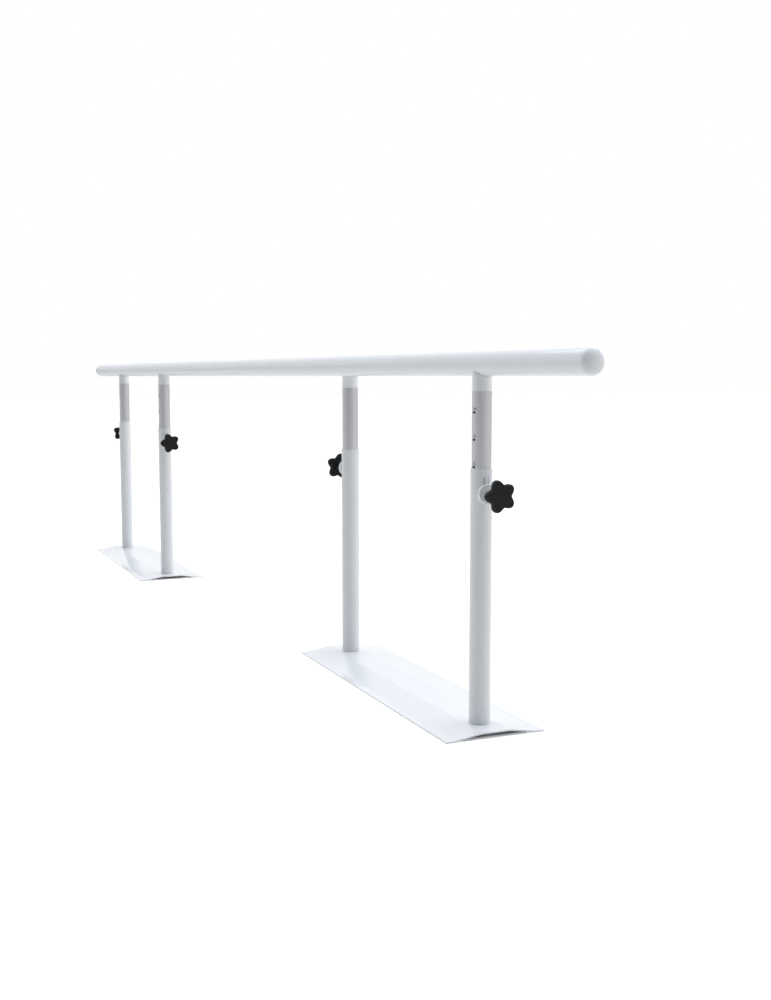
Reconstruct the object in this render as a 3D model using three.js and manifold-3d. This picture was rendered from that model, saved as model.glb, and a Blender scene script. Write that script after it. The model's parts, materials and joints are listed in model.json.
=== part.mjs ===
// Folding walking parallel bars, in millimetres, +Z up, standing on z = 0.
// Two rails stand on two flat steel bases. Each rail has two inner tubes that slide and turn in
// the outer tubes of the bases, so the rails lift, and the whole set folds like a parallelogram.
// It is drawn folded: the rails lie side by side along X and the bases lie almost in line.

import * as THREE from 'three';
import { mergeVertices } from 'three/addons/utils/BufferGeometryUtils.js';
import Module from 'manifold-3d';

const wasm = await Module();
wasm.setup();

// Layout
const railLength = 2934;
const railAxisHeight = 765;
const railOverhang = 367;
const postSpacing = 736;
const foldedRailGap = 1;

// Rails and their end caps
const railDiameter = 51;
const railWall = 2.5;
const capSpigotLength = 22;
const capWall = 3;
const capFlangeThickness = 2;
const capDomeHeight = 14;

// Stubs welded under the rails
const stubHeight = 31;
const stubWall = 1.5;

// Inner tubes with their index slots
const innerTubeDiameter = 41;
const innerTubeWall = 1.5;
const innerTubeLength = 488;
const neckLength = 24;
const shoulderLength = 3;
const indexSlotWidth = 8.6;
const indexSlotHeight = 3.4;
const indexSlotTurn = THREE.MathUtils.degToRad(5.5);
const indexSlotPitch = 56;
const indexSlotCount = 7;
const indexSlotInUse = 3;
const exposedInnerLength = 159;

// Glide plugs in the lower ends of the inner tubes
const glideFlangeThickness = 12;
const glideSpigotLength = 15;
const glideBore = 24;

// Outer tubes and the guide bushes in their mouths
const outerTubeDiameter = 45.8;
const outerTubeWall = 1.2;
const guideBushLength = 38;
const slitWidth = 1.2;
const slitSpacing = 10.2;
const slitTopDrop = 17;

// Clamps: boss, threaded insert, stud with its thrust pad, and star knob
const clampDrop = 50.9;
const bossDiameter = 41.6;
const bossWall = 1.8;
const bossStandoff = 1;
const bossCupLength = 8.5;
const bossFloorThickness = 2;
const bossNeckDiameter = 32;
const bossEdge = 0.5;
const insertRecess = 0.4;
const studDiameter = 10;
const studChamfer = 1;
const thrustPadDiameter = 6;
const thrustPadLength = 5;
const padNoseLength = 1.9;
const thrustPinDiameter = 3;
const thrustPinLength = 2.4;
const knobDiameter = 68.2;
const knobValleyDiameter = 49;
const knobThickness = 13.6;
const knobEdge = 2.5;
const knobMiddleReach = 82.5;
const knobHubDiameter = 27;
const knobHubLength = 11;
const knobBoreDepth = 18;
const knobLobes = 5;
const rearKnobTurn = THREE.MathUtils.degToRad(-8);

// Bases: folded top sheet over a flat bottom plate
const baseOverhang = 74;
const baseWidth = 228;
const flangeWidth = 16.6;
const crownWidth = 68;
const crownRise = 9.8;
const topSheetThickness = 3;
const bottomPlateThickness = 3.5;
const bottomPlateInset = 2;
const accessHoleDiameter = 24;

// Foot plugs and the screws that hold the outer tubes down
const footPlugHeight = 14;
const footScrewDiameter = 10;
const footScrewReach = 12;
const footScrewHeadDiameter = 16;
const footScrewHeadHeight = 7;
const hexSocketWidth = 8;
const hexSocketDepth = 4;

// Fits: a slide or turn between tubes, a seat between pieces that touch, and a hole round a thread
const runningFit = 0.25;
const seatGap = 0.3;
const screwFit = 0.3;
const looseFit = 0.6;

// Facets, and a length by which every cut runs past what it cuts
const tubeSides = 24;
const plugSides = 16;
const boltSides = 12;
const slotSides = 10;
const hexSides = 6;
const capDomeRings = 5;
const pointsPerLobe = 8;
const cutOverrun = 5;
const weldDistance = 1e-4;

// Radii
const railRadius = railDiameter / 2;
const railBore = railRadius - railWall;
const innerRadius = innerTubeDiameter / 2;
const innerBore = innerRadius - innerTubeWall;
const stubBore = innerRadius - stubWall;
const neckRadius = stubBore - seatGap;
const outerRadius = outerTubeDiameter / 2;
const outerBore = outerRadius - outerTubeWall;
const bossRadius = bossDiameter / 2;
const bossBore = bossRadius - bossWall;
const studRadius = studDiameter / 2;
const studBore = studRadius + screwFit;
const padNoseRadius = indexSlotHeight / 2 - screwFit;
const screwRadius = footScrewDiameter / 2;

// Heights above the floor
const crownTop = crownRise + topSheetThickness;
const outerTubeFoot = crownTop + seatGap;
const stubFoot = railAxisHeight - railRadius - stubHeight;
const outerTubeTop = stubFoot - exposedInnerLength;
const innerTubeFoot = stubFoot - seatGap - innerTubeLength;
const clampHeight = outerTubeTop - clampDrop;
const firstIndexSlotHeight = clampHeight + indexSlotInUse * indexSlotPitch;

// Reaches along a clamp's axis, measured out from the post's axis
const bossBack = outerRadius + bossStandoff;
const bossFace = bossBack + bossCupLength;
const bossFloor = bossBack + bossFloorThickness;
const insertBack = bossFloor + seatGap;
const insertFace = bossFace - insertRecess;
const padTip = innerRadius + seatGap;
const padBack = padTip + thrustPadLength;
const studTip = padBack + seatGap;
const knobBack = knobMiddleReach - knobThickness / 2;
const hubFace = knobBack - knobHubLength;
const knobBoreEnd = hubFace + knobBoreDepth;

// The rails reach past the outermost posts, and a base reaches past its posts at both ends.
const baseSpacing = railLength - 2 * railOverhang;
const baseLength = postSpacing + 2 * baseOverhang;

// Folded layout: the bases stand at a small angle to the rails, which leaves the rails side by side
const foldedAngle = Math.asin((railDiameter + foldedRailGap) / postSpacing);
const railShift = (postSpacing / 2) * Math.cos(foldedAngle);
const railOffset = (postSpacing / 2) * Math.sin(foldedAngle);

const ends = [
  { name: 'near', side: 1 },
  { name: 'far', side: -1 },
];
const posts = [
  { name: 'front', side: 1, facing: 0, knobTurn: 0 },
  { name: 'rear', side: -1, facing: Math.PI, knobTurn: rearKnobTurn },
];

// Finishes
const whitePaint = new THREE.MeshStandardMaterial({ color: 0xe9ebee, roughness: 0.35, metalness: 0 });
const satinSteel = new THREE.MeshStandardMaterial({ color: 0xb4b4b8, roughness: 0.3, metalness: 0.9 });
const darkSteel = new THREE.MeshStandardMaterial({ color: 0x8d9096, roughness: 0.45, metalness: 0.8 });
const blackPlastic = new THREE.MeshStandardMaterial({ color: 0x262728, roughness: 0.6, metalness: 0 });
const greyPlastic = new THREE.MeshStandardMaterial({ color: 0xd5d7da, roughness: 0.5, metalness: 0 });

// A closed geometry becomes a solid once its corners are shared and its empty faces are dropped.
function solid(geometry) {
  const bare = geometry.clone();
  bare.deleteAttribute('normal');
  bare.deleteAttribute('uv');
  const merged = mergeVertices(bare, weldDistance);
  const faces = [];
  for (let i = 0; i < merged.index.count; i += 3) {
    const [a, b, c] = [0, 1, 2].map((corner) => merged.index.getX(i + corner));
    if (a !== b && b !== c && c !== a) faces.push(a, b, c);
  }
  const vertProperties = new Float32Array(merged.attributes.position.array);
  const triVerts = new Uint32Array(faces);
  return new wasm.Manifold(new wasm.Mesh({ numProp: 3, vertProperties, triVerts }));
}

function geometryOf(manifold) {
  const { vertProperties, triVerts } = manifold.getMesh();
  const geometry = new THREE.BufferGeometry();
  geometry.setAttribute('position', new THREE.BufferAttribute(new Float32Array(vertProperties), 3));
  geometry.setIndex(new THREE.BufferAttribute(new Uint32Array(triVerts), 1));
  geometry.computeVertexNormals();
  return geometry;
}

// A profile of [radius, height] points, taken anticlockwise, turned about Z.
function turned(profile, sides) {
  const points = profile.map(([radius, height]) => new THREE.Vector2(radius, height));
  return solid(new THREE.LatheGeometry(points, sides).rotateX(Math.PI / 2));
}

function ring(bore, radius, foot, top, sides) {
  return turned([[bore, foot], [radius, foot], [radius, top], [bore, top], [bore, foot]], sides);
}

function rod(radius, foot, top, sides) {
  return turned([[0, foot], [radius, foot], [radius, top], [0, top]], sides);
}

// A quarter turn that lays Z along X, for pieces on a clamp's axis and along a rail.
function alongX(manifold) {
  return manifold.rotate([0, 90, 0]);
}

function prism(points, length) {
  const outline = new THREE.Shape(points.map(([x, y]) => new THREE.Vector2(x, y)));
  return new THREE.ExtrudeGeometry(outline, { depth: length, bevelEnabled: false });
}

function piece(name, manifold, material, z = 0) {
  const mesh = new THREE.Mesh(geometryOf(manifold), material.clone());
  mesh.name = name;
  mesh.position.z = z;
  return mesh;
}

// Bases

// The folded sheet: two flanges on the floor, two slopes and a flat crown, extruded along X.
function topSheet() {
  const edge = baseWidth / 2;
  const slopeFoot = edge - flangeWidth;
  const crownEdge = crownWidth / 2;
  const half = [[edge, 0], [slopeFoot, 0], [crownEdge, crownRise]];
  const underside = [...half, ...half.toReversed().map(([y, z]) => [-y, z])];
  const upper = underside.toReversed().map(([y, z]) => [y, z + topSheetThickness]);
  const sheet = prism([...underside, ...upper], baseLength);
  sheet.translate(0, 0, -baseLength / 2).rotateX(Math.PI / 2).rotateZ(Math.PI / 2);
  const hole = rod(screwRadius + looseFit, -cutOverrun, crownTop + cutOverrun, boltSides);
  return cutAtPosts(solid(sheet), hole);
}

// The flat plate is as wide as fits under the slopes, with its upper edges on them.
function bottomPlate() {
  const slopeRun = baseWidth / 2 - flangeWidth - crownWidth / 2;
  const seatHeight = bottomPlateThickness + seatGap;
  const halfWidth = baseWidth / 2 - flangeWidth - (seatHeight * slopeRun) / crownRise;
  const plate = new THREE.BoxGeometry(
    baseLength - 2 * bottomPlateInset,
    2 * halfWidth,
    bottomPlateThickness,
  );
  plate.translate(0, 0, bottomPlateThickness / 2);
  const hole = rod(accessHoleDiameter / 2, -cutOverrun, seatHeight + cutOverrun, plugSides);
  return cutAtPosts(solid(plate), hole);
}

function cutAtPosts(body, hole) {
  return posts.reduce((rest, post) => rest.subtract(hole.translate([postPlace(post), 0, 0])), body);
}

function postPlace(post) {
  return post.side * (postSpacing / 2);
}

function footScrew() {
  const headTop = crownRise - seatGap;
  const headFoot = headTop - footScrewHeadHeight;
  const screwTop = outerTubeFoot + footScrewReach;
  const headRadius = footScrewHeadDiameter / 2;
  const screw = turned([
    [0, headFoot],
    [headRadius, headFoot],
    [headRadius, headTop],
    [screwRadius, headTop],
    [screwRadius, screwTop],
    [0, screwTop],
  ], boltSides);
  const socketRadius = hexSocketWidth / Math.sqrt(3);
  const socket = rod(socketRadius, headFoot - cutOverrun, headFoot + hexSocketDepth, hexSides);
  return screw.subtract(socket);
}

function footPlug() {
  const radius = outerBore - seatGap;
  return ring(screwRadius + screwFit, radius, outerTubeFoot, outerTubeFoot + footPlugHeight, plugSides);
}

// Posts

// The outer tube has a hole for the stud, and two slits that free a tongue above it.
function outerTube() {
  const tube = ring(outerBore, outerRadius, outerTubeFoot, outerTubeTop, tubeSides);
  const holeEnd = outerRadius + cutOverrun;
  const hole = alongX(rod(studBore, 0, holeEnd, boltSides)).translate([0, 0, clampHeight]);
  const slitTop = outerTubeTop - slitTopDrop;
  const slit = new THREE.BoxGeometry(holeEnd, slitWidth, slitTop - clampHeight);
  slit.translate(holeEnd / 2, 0, (slitTop + clampHeight) / 2);
  const slitSolid = solid(slit);
  return tube
    .subtract(hole)
    .subtract(slitSolid.translate([0, slitSpacing / 2, 0]))
    .subtract(slitSolid.translate([0, -slitSpacing / 2, 0]));
}

function guideBush() {
  const bore = innerRadius + runningFit;
  return ring(bore, outerBore - runningFit, outerTubeTop - guideBushLength, outerTubeTop, tubeSides);
}

// The upper end is drawn in to a neck that plugs into the rail's stub.
function innerTube() {
  const tube = turned([
    [innerBore, 0],
    [innerRadius, 0],
    [innerRadius, innerTubeLength],
    [neckRadius, innerTubeLength],
    [neckRadius, innerTubeLength + neckLength],
    [neckRadius - innerTubeWall, innerTubeLength + neckLength],
    [neckRadius - innerTubeWall, innerTubeLength - shoulderLength],
    [innerBore, innerTubeLength - 2 * shoulderLength],
    [innerBore, 0],
  ], tubeSides);
  const slot = indexSlot();
  let slotted = tube;
  for (let i = 0; i < indexSlotCount; i += 1) {
    const height = firstIndexSlotHeight - i * indexSlotPitch - innerTubeFoot;
    slotted = slotted.subtract(slot.translate([0, 0, height]));
  }
  return slotted;
}

// A slot lies across the tube and has rounded ends.
function indexSlot() {
  const end = rod(indexSlotHeight / 2, 0, innerRadius + cutOverrun, slotSides);
  const shift = (indexSlotWidth - indexSlotHeight) / 2;
  return alongX(wasm.Manifold.hull([end.translate([0, shift, 0]), end.translate([0, -shift, 0])]));
}

function glidePlug() {
  const flange = outerBore - seatGap;
  const spigot = innerBore - seatGap;
  const bore = glideBore / 2;
  return turned([
    [bore, -glideFlangeThickness],
    [flange, -glideFlangeThickness],
    [flange, -seatGap],
    [spigot, -seatGap],
    [spigot, glideSpigotLength],
    [bore, glideSpigotLength],
    [bore, -glideFlangeThickness],
  ], plugSides);
}

// Rails

function rail() {
  return alongX(ring(railBore, railRadius, -railLength / 2, railLength / 2, tubeSides));
}

// The stub's top is cut to the underside of the rail.
function railStub() {
  const tube = ring(stubBore, innerRadius, 0, stubHeight + railRadius, tubeSides);
  const cutter = alongX(rod(railRadius + seatGap, -railDiameter, railDiameter, tubeSides));
  return tube.subtract(cutter.translate([0, 0, stubHeight + railRadius]));
}

// The cap's dome is half an ellipse in profile.
function railCap() {
  const spigot = railBore - seatGap;
  const flangeTop = seatGap + capFlangeThickness;
  const dome = Array.from({ length: capDomeRings }, (_, i) => {
    const turn = (i / capDomeRings) * (Math.PI / 2);
    return [railRadius * Math.cos(turn), flangeTop + capDomeHeight * Math.sin(turn)];
  });
  return turned([
    [0, -capWall],
    [spigot - capWall, -capWall],
    [spigot - capWall, -capSpigotLength],
    [spigot, -capSpigotLength],
    [spigot, seatGap],
    [railRadius, seatGap],
    ...dome,
    [0, flangeTop + capDomeHeight],
  ], tubeSides);
}

// Clamps, drawn about X with the post's axis at zero

// The boss is a shallow cup on a neck, and the neck's back is cut to the outer tube.
function clampBoss() {
  const neck = bossNeckDiameter / 2;
  const cup = turned([
    [studBore, 0],
    [neck, 0],
    [neck, bossBack],
    [bossRadius, bossBack],
    [bossRadius, bossFace - bossEdge],
    [bossRadius - bossEdge, bossFace],
    [bossBore, bossFace],
    [bossBore, bossFloor],
    [studBore, bossFloor],
    [studBore, 0],
  ], tubeSides);
  const cutter = rod(outerRadius + seatGap, -bossDiameter, bossDiameter, tubeSides);
  return alongX(cup).subtract(cutter);
}

function threadedInsert() {
  return alongX(ring(studBore, bossBore - seatGap, insertBack, insertFace, plugSides));
}

// The pad's nose can enter an index slot.
function thrustPad() {
  const radius = thrustPadDiameter / 2;
  const bore = thrustPinDiameter / 2 + screwFit;
  const boreEnd = studTip - thrustPinLength - seatGap;
  return alongX(turned([
    [0, padTip],
    [padNoseRadius, padTip],
    [padNoseRadius, padTip + padNoseLength],
    [radius, padTip + padNoseLength],
    [radius, padBack],
    [bore, padBack],
    [bore, boreEnd],
    [0, boreEnd],
  ], boltSides));
}

function threadedStud() {
  const pin = thrustPinDiameter / 2;
  const end = knobBoreEnd - seatGap;
  return alongX(turned([
    [0, studTip - thrustPinLength],
    [pin, studTip - thrustPinLength],
    [pin, studTip],
    [studRadius - studChamfer, studTip],
    [studRadius, studTip + studChamfer],
    [studRadius, end],
    [0, end],
  ], boltSides));
}

// The star's radius swings between valley and lobe as a cosine, with one lobe towards -Y.
function starKnob() {
  const middle = (knobDiameter + knobValleyDiameter) / 4;
  const swing = (knobDiameter - knobValleyDiameter) / 4;
  const count = knobLobes * pointsPerLobe;
  const outline = new THREE.Shape();
  for (let i = 0; i < count; i += 1) {
    const turn = (2 * Math.PI * i) / count;
    const radius = middle + swing * Math.cos(knobLobes * turn) - knobEdge;
    const angle = turn - Math.PI / 2;
    if (i === 0) outline.moveTo(radius * Math.cos(angle), radius * Math.sin(angle));
    else outline.lineTo(radius * Math.cos(angle), radius * Math.sin(angle));
  }
  outline.closePath();
  const star = new THREE.ExtrudeGeometry(outline, {
    depth: knobThickness - 2 * knobEdge,
    bevelThickness: knobEdge,
    bevelSize: knobEdge,
    bevelSegments: 1,
  });
  star.translate(0, 0, knobBack + knobEdge);
  const hub = rod(knobHubDiameter / 2, hubFace, knobMiddleReach, plugSides);
  const bore = rod(studBore, hubFace - cutOverrun, knobBoreEnd, boltSides);
  return alongX(solid(star).add(hub).subtract(bore));
}

// Assembly

const topSheetSolid = topSheet();
const bottomPlateSolid = bottomPlate();
const footPlugSolid = footPlug();
const footScrewSolid = footScrew();
const outerTubeSolid = outerTube();
const guideBushSolid = guideBush();
const innerTubeSolid = innerTube();
const glidePlugSolid = glidePlug();
const railSolid = rail();
const railStubSolid = railStub();
const railCapSolid = railCap();
const clampBossSolid = clampBoss();
const threadedInsertSolid = threadedInsert();
const thrustPadSolid = thrustPad();
const threadedStudSolid = threadedStud();
const starKnobSolid = starKnob();

// A post is drawn with its clamp facing +X and turned to face away from the other post.
function postGroup(place, post) {
  const group = new THREE.Group();
  group.position.x = postPlace(post);
  group.rotation.z = post.facing;
  group.add(
    piece(`outer_tube_${place}`, outerTubeSolid, whitePaint),
    piece(`foot_plug_${place}`, footPlugSolid, darkSteel),
    piece(`foot_screw_${place}`, footScrewSolid, darkSteel),
    piece(`guide_bush_${place}`, guideBushSolid, greyPlastic),
    piece(`clamp_boss_${place}`, clampBossSolid, whitePaint, clampHeight),
    piece(`threaded_insert_${place}`, threadedInsertSolid, darkSteel, clampHeight),
    piece(`thrust_pad_${place}`, thrustPadSolid, darkSteel, clampHeight),
    piece(`threaded_stud_${place}`, threadedStudSolid, satinSteel, clampHeight),
  );
  const knob = piece(`star_knob_${place}`, starKnobSolid, blackPlastic, clampHeight);
  knob.rotation.x = post.knobTurn;
  group.add(knob);
  return group;
}

function baseGroup(end) {
  const group = new THREE.Group();
  group.position.x = end.side * (baseSpacing / 2);
  group.rotation.z = -foldedAngle;
  group.add(
    piece(`base_top_sheet_${end.name}`, topSheetSolid, whitePaint),
    piece(`base_bottom_plate_${end.name}`, bottomPlateSolid, whitePaint),
  );
  posts.forEach((post) => group.add(postGroup(`${end.name}_${post.name}`, post)));
  return group;
}

// Under a rail, the index slots face away from the other rail and a little towards the clamp.
function legGroup(place, end, post) {
  const group = new THREE.Group();
  group.position.x = end.side * (baseSpacing / 2);
  const tube = piece(`inner_tube_${place}`, innerTubeSolid, satinSteel, innerTubeFoot);
  tube.rotation.z = indexSlotTurn - post.side * (Math.PI / 2);
  group.add(
    tube,
    piece(`rail_stub_${place}`, railStubSolid, whitePaint, stubFoot),
    piece(`glide_plug_${place}`, glidePlugSolid, blackPlastic, innerTubeFoot),
  );
  return group;
}

function railGroup(post) {
  const group = new THREE.Group();
  group.position.set(post.side * railShift, -post.side * railOffset, 0);
  group.add(piece(`rail_${post.name}`, railSolid, whitePaint, railAxisHeight));
  ends.forEach((end) => {
    const place = `${end.name}_${post.name}`;
    const cap = piece(`rail_cap_${place}`, railCapSolid, whitePaint, railAxisHeight);
    cap.position.x = end.side * (railLength / 2);
    cap.rotation.y = end.side * (Math.PI / 2);
    group.add(cap, legGroup(place, end, post));
  });
  return group;
}

const parallelBars = new THREE.Group();
ends.forEach((end) => parallelBars.add(baseGroup(end)));
posts.forEach((post) => parallelBars.add(railGroup(post)));

export default parallelBars;
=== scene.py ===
import json
import math
from collections import namedtuple

import bmesh
import bpy
import numpy as np
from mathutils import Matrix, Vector

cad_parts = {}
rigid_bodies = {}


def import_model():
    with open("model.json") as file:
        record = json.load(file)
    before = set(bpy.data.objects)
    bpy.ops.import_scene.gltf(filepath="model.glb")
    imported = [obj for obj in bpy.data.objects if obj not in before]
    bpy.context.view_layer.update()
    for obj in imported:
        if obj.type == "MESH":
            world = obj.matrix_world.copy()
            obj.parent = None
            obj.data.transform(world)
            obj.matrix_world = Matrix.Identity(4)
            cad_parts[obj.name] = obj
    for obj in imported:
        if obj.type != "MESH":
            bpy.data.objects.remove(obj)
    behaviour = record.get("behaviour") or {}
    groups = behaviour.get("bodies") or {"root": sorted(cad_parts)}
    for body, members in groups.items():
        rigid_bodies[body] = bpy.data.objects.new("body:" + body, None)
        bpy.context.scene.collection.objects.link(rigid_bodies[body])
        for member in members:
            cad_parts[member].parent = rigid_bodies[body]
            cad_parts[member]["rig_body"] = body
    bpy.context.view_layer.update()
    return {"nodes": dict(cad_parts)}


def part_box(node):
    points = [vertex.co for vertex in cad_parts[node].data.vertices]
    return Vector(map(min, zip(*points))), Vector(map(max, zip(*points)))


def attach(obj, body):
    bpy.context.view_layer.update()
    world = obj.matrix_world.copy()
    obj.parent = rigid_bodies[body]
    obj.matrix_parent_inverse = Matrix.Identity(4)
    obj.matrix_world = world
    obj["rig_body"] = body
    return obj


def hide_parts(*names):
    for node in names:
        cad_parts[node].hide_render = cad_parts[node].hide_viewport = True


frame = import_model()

bl_info = {
    "name": "Folding walking bars",
    "version": (1, 0, 0),
    "blender": (4, 5, 0),
    "location": "3D View > Sidebar > Walking bars",
    "description": "Builds the finished surfaces of a folding set of walking parallel bars",
    "category": "Object",
}

ENDS = ("near", "far")
POSTS = ("front", "rear")
PLACES = tuple(f"{end}_{post}" for end in ENDS for post in POSTS)
UP = np.array((0.0, 0.0, 1.0))
ALONG = np.array((1.0, 0.0, 0.0))
WHITE = (1.0, 1.0, 1.0, 1.0)
MM = 0.001
TINY = 1e-9

# Grids: facets round a piece, in steps about as wide as one cell of the grids with holes
TUBE_SIDES = 96
SMALL_SIDES = 64
LEG_SIDES = 128
KNOB_SIDES = 200
THREAD_SIDES = 36
# The decimals to which rows are rounded, and the slack that keeps a side from one split too many
GRID_DIGITS = 7
SPLIT_SLACK = 1e-6
SHARP_ANGLE = math.radians(35)
# The rows of a rounded rim, and where the last point beside a rounded corner stands, in roundings
RIM_SHARES = (0, 0.04, 0.15, 0.4, 1, 1.6)
ARC_MARGIN = 1.5
# The longest side of a turned profile, of a boss's cup, and of a row on tubes and on bases
LONGEST_SIDE = 50 * MM
LONGEST_CUP_SIDE = 3 * MM
LONGEST_TUBE_ROW = 30 * MM
LONGEST_BASE_ROW = 40 * MM
# Half the block of cells that a hole takes, across and along, and the cells that bend round it
SLOT_CORE = (4, 2)
HOLE_CORE = (4, 4)
SHEET_CORE = 4
PLATE_CORE = 6
HOLE_SPAN = 3
SHEET_CELL = 1.9 * MM
PLATE_CELL = 3.2 * MM
# More lines along a base, across its slopes and its plate
SLOPE_RIDGES = (60 * MM, 75 * MM)
PLATE_RIDGES = (40 * MM, 55 * MM)
CUT_EDGE_STEPS = 3
CUT_EDGE_ANGLE = math.radians(50)
# Rows of a rail cap's dome, a stub's wall and groove, a leg's neck, a boss's foot and a bend
DOME_STEPS = 22
STUB_SHARES = np.linspace(0.15, 1, 7)
GROOVE_STEPS = 5
NECK_ROWS = 4
FOOT_RINGS = 8
BEND_STEPS = 9
# The height over which a leg's bore draws in
NECK_DRAW = 3 * MM
# The rows and columns of cells that the slits take, and the plain rows' distance from them
SLIT_ROWS = 13
SLIT_COLUMNS = (3, 4)
SLIT_CLEAR_BELOW = 0.5 * MM
SLIT_CLEAR_ABOVE = 2 * MM
# A figure's height in its font, its thickness before it is bent round the tube, and its cuts
FIGURE_SHARE = 0.7
FIGURE_DEPTH = 0.5
FIGURE_REACH = (-8 * MM, 10 * MM)
FIGURE_CUT = 0.4 * MM
WELD_REACH = MM / 1000
# The studs' thread: rows a turn, depth as a share of its pitch, slope and flat crest, and ends
THREAD_ROWS = 8
THREAD_DEPTH_SHARE = 0.6
THREAD_SLOPE = 1.15
THREAD_CREST = 0.1
THREAD_FADE = 1.2 * MM
TIP_SHARE = 0.8
# The knobs: lobes, how blunt they are, and the roundings of the hub and the flat round it
LOBES = 5
BLUNT = 0.07
HUB_BORE_EDGE = 0.6 * MM
HUB_EDGE = 1.2 * MM
HUB_FILLET = 2 * MM
HUB_APRON = 5 * MM
# The knobs' rings across the back, round each edge, up the side and over the face
BACK_SHARES = np.linspace(0, 1, 9)[1:-1]
EDGE_STEPS = 8
SIDE_SHARES = (0.2, 0.5, 0.8)
FACE_SHARES = np.linspace(0.97, 0, 16)

# Tints of the finishes, the painted shade of the inner tubes' bores and the studs' thread grooves, the
# painted highlight on the knobs' edges, and the bands between one tint and the next
DUST = (0.62, 0.60, 0.57)
STAIN = (0.42, 0.41, 0.38)
BORE_SHADE = 0.03
BORE_SHADE_BLEND = 0.25 * MM
THREAD_BAND = (4.2 * MM, 5 * MM)
HANDLED_BAND = (28 * MM, 34 * MM)
EDGE_PAINTED_HIGHLIGHT = 2.6
HIGHLIGHT_TOP_BAND = (0.03 * MM, 0.25 * MM)
HIGHLIGHT_FOOT_BAND = (0.75, 0.45)

# The photograph's viewpoint, solved from the corners of the bases and the feet and tops of the tubes
CAMERA_PLACE = (3.59826, -1.34827, 0.73906)
CAMERA_TURN = math.radians(62.7145)
CAMERA_DROP = math.radians(5.825)
CAMERA_LENS = 43.676
CAMERA_REACH = 200.0

# The stage: floor, lamp and soft surroundings, matched to the photograph's tones
FLOOR_HALF = 40.0
FLOOR_ROUGHNESS = 0.9
FLOOR_SHINE = 0.2
FLOOR_GLOW = 0.5
FLOOR_GLOSS_GLOW = 0.02
LAMP_SIZE = (8.0, 6.0)
LAMP_POWER = 163.0
LAMP_COLOUR = (0.87, 0.935, 1.0)
LAMP_PLACE = (0.3, 0.7, 4.5)
LAMP_AIM = (0.0, 0.0, 0.3)
SHADE_SIDE = (0.652, -0.758, 0.0)
BASE_LEVEL = 0.885
SIDE_FALL = 1.63
SKY_CAP = 1.41
BACK_SIDE = (-0.898, 0.44, 0.0)
BACK_FALL = 0.8
SKY_RISE = (-0.01, 0.03, 0.09)
RIM_SIDE = (-0.87, -0.5, 0.0)
RIM_LEVEL = 0.83
FRONT_FALL = 0.79
HORIZON_LEVEL = 0.82
HORIZON_RISE = 1.2


# Places and sizes taken from the frame

Extent = namedtuple("Extent", "bore radius low high")


def mesh_points(mesh):
    """The corners of a mesh, as an array in metres."""
    points = np.empty(len(mesh.vertices) * 3, np.float32)
    mesh.vertices.foreach_get("co", points)
    return points.reshape(-1, 3).astype(float)


def node_points(node):
    return mesh_points(frame["nodes"][node].data)


def node_middle(node):
    low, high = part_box(node)
    return (np.array(low) + np.array(high)) / 2


def extent(node, point, axis):
    """A node's least and greatest distance from an axis, and its reach along it from a point."""
    offset = node_points(node) - point
    along = offset @ axis
    away = np.linalg.norm(offset - np.outer(along, axis), axis=1)
    return Extent(away.min(), away.max(), along.min(), along.max())


def post_extent(part, place):
    """A part's extent about its post's axis, from the floor."""
    return extent(f"{part}_{place}", post_foot(place), UP)


def clamp_extent(part, place):
    """A part's extent about its clamp's axis, from the post's axis."""
    return extent(f"{part}_{place}", clamp_point(place), clamp_axes(place)[2])


def body_of(node):
    return frame["nodes"][node]["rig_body"]


def post_foot(place):
    """The point on the floor under a post's axis."""
    return node_middle(f"outer_tube_{place}") * (1, 1, 0)


def clamp_axes(place):
    """Unit vectors sideways from a clamp, up, and out along its axis."""
    out = (node_middle(f"thrust_pad_{place}") - post_foot(place)) * (1, 1, 0)
    out = out / np.linalg.norm(out)
    return np.cross(UP, out), UP, out


def clamp_point(place):
    """The point where a clamp's axis crosses its post's axis."""
    return post_foot(place) + UP * node_middle(f"thrust_pad_{place}")[2]


def tube_axes(place):
    """Unit vectors of an outer tube: out along its clamp, sideways, and up."""
    side, up, out = clamp_axes(place)
    return out, side, up


def leg_axes(place):
    """Unit vectors of an inner tube: out along its index slots, sideways, and up.

    The slots face away from the other rail, turned a little about the tube's axis.
    """
    turn = math.copysign(math.pi / 2, post_foot(place)[1]) + sizes().index_turn
    out = np.array((math.cos(turn), math.sin(turn), 0.0))
    return out, np.cross(UP, out), UP


def base_axes(end):
    """Unit vectors along a base, across it, and up."""
    along = post_foot(f"{end}_front") - post_foot(f"{end}_rear")
    along = along / np.linalg.norm(along)
    return along, np.cross(UP, along), UP


def base_middle(end):
    return (post_foot(f"{end}_front") + post_foot(f"{end}_rear")) / 2


def rail_axes(side=1):
    """Unit vectors of a piece drawn about a rail's axis, with its own Z towards +X or -X."""
    return np.array((0.0, side, 0.0)), UP, ALONG * side


# Surfaces worked out as whole arrays

def placed(local, origin, axes):
    """Points = origin + x, y and z times three unit vectors."""
    return origin + local @ np.array(axes)


def grid_cells(rows, cols, wrap_rows, wrap_cols):
    """Four corner numbers for each cell of a grid of rows x cols points, taken the same way round."""
    i, j = np.meshgrid(
        np.arange(rows if wrap_rows else rows - 1),
        np.arange(cols if wrap_cols else cols - 1),
        indexing="ij",
    )
    up, right = (i + 1) % rows, (j + 1) % cols
    return np.stack([i * cols + j, i * cols + right, up * cols + right, up * cols + j], axis=-1)


def turn_angles(sides):
    return np.linspace(0, 2 * np.pi, sides, endpoint=False)


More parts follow.
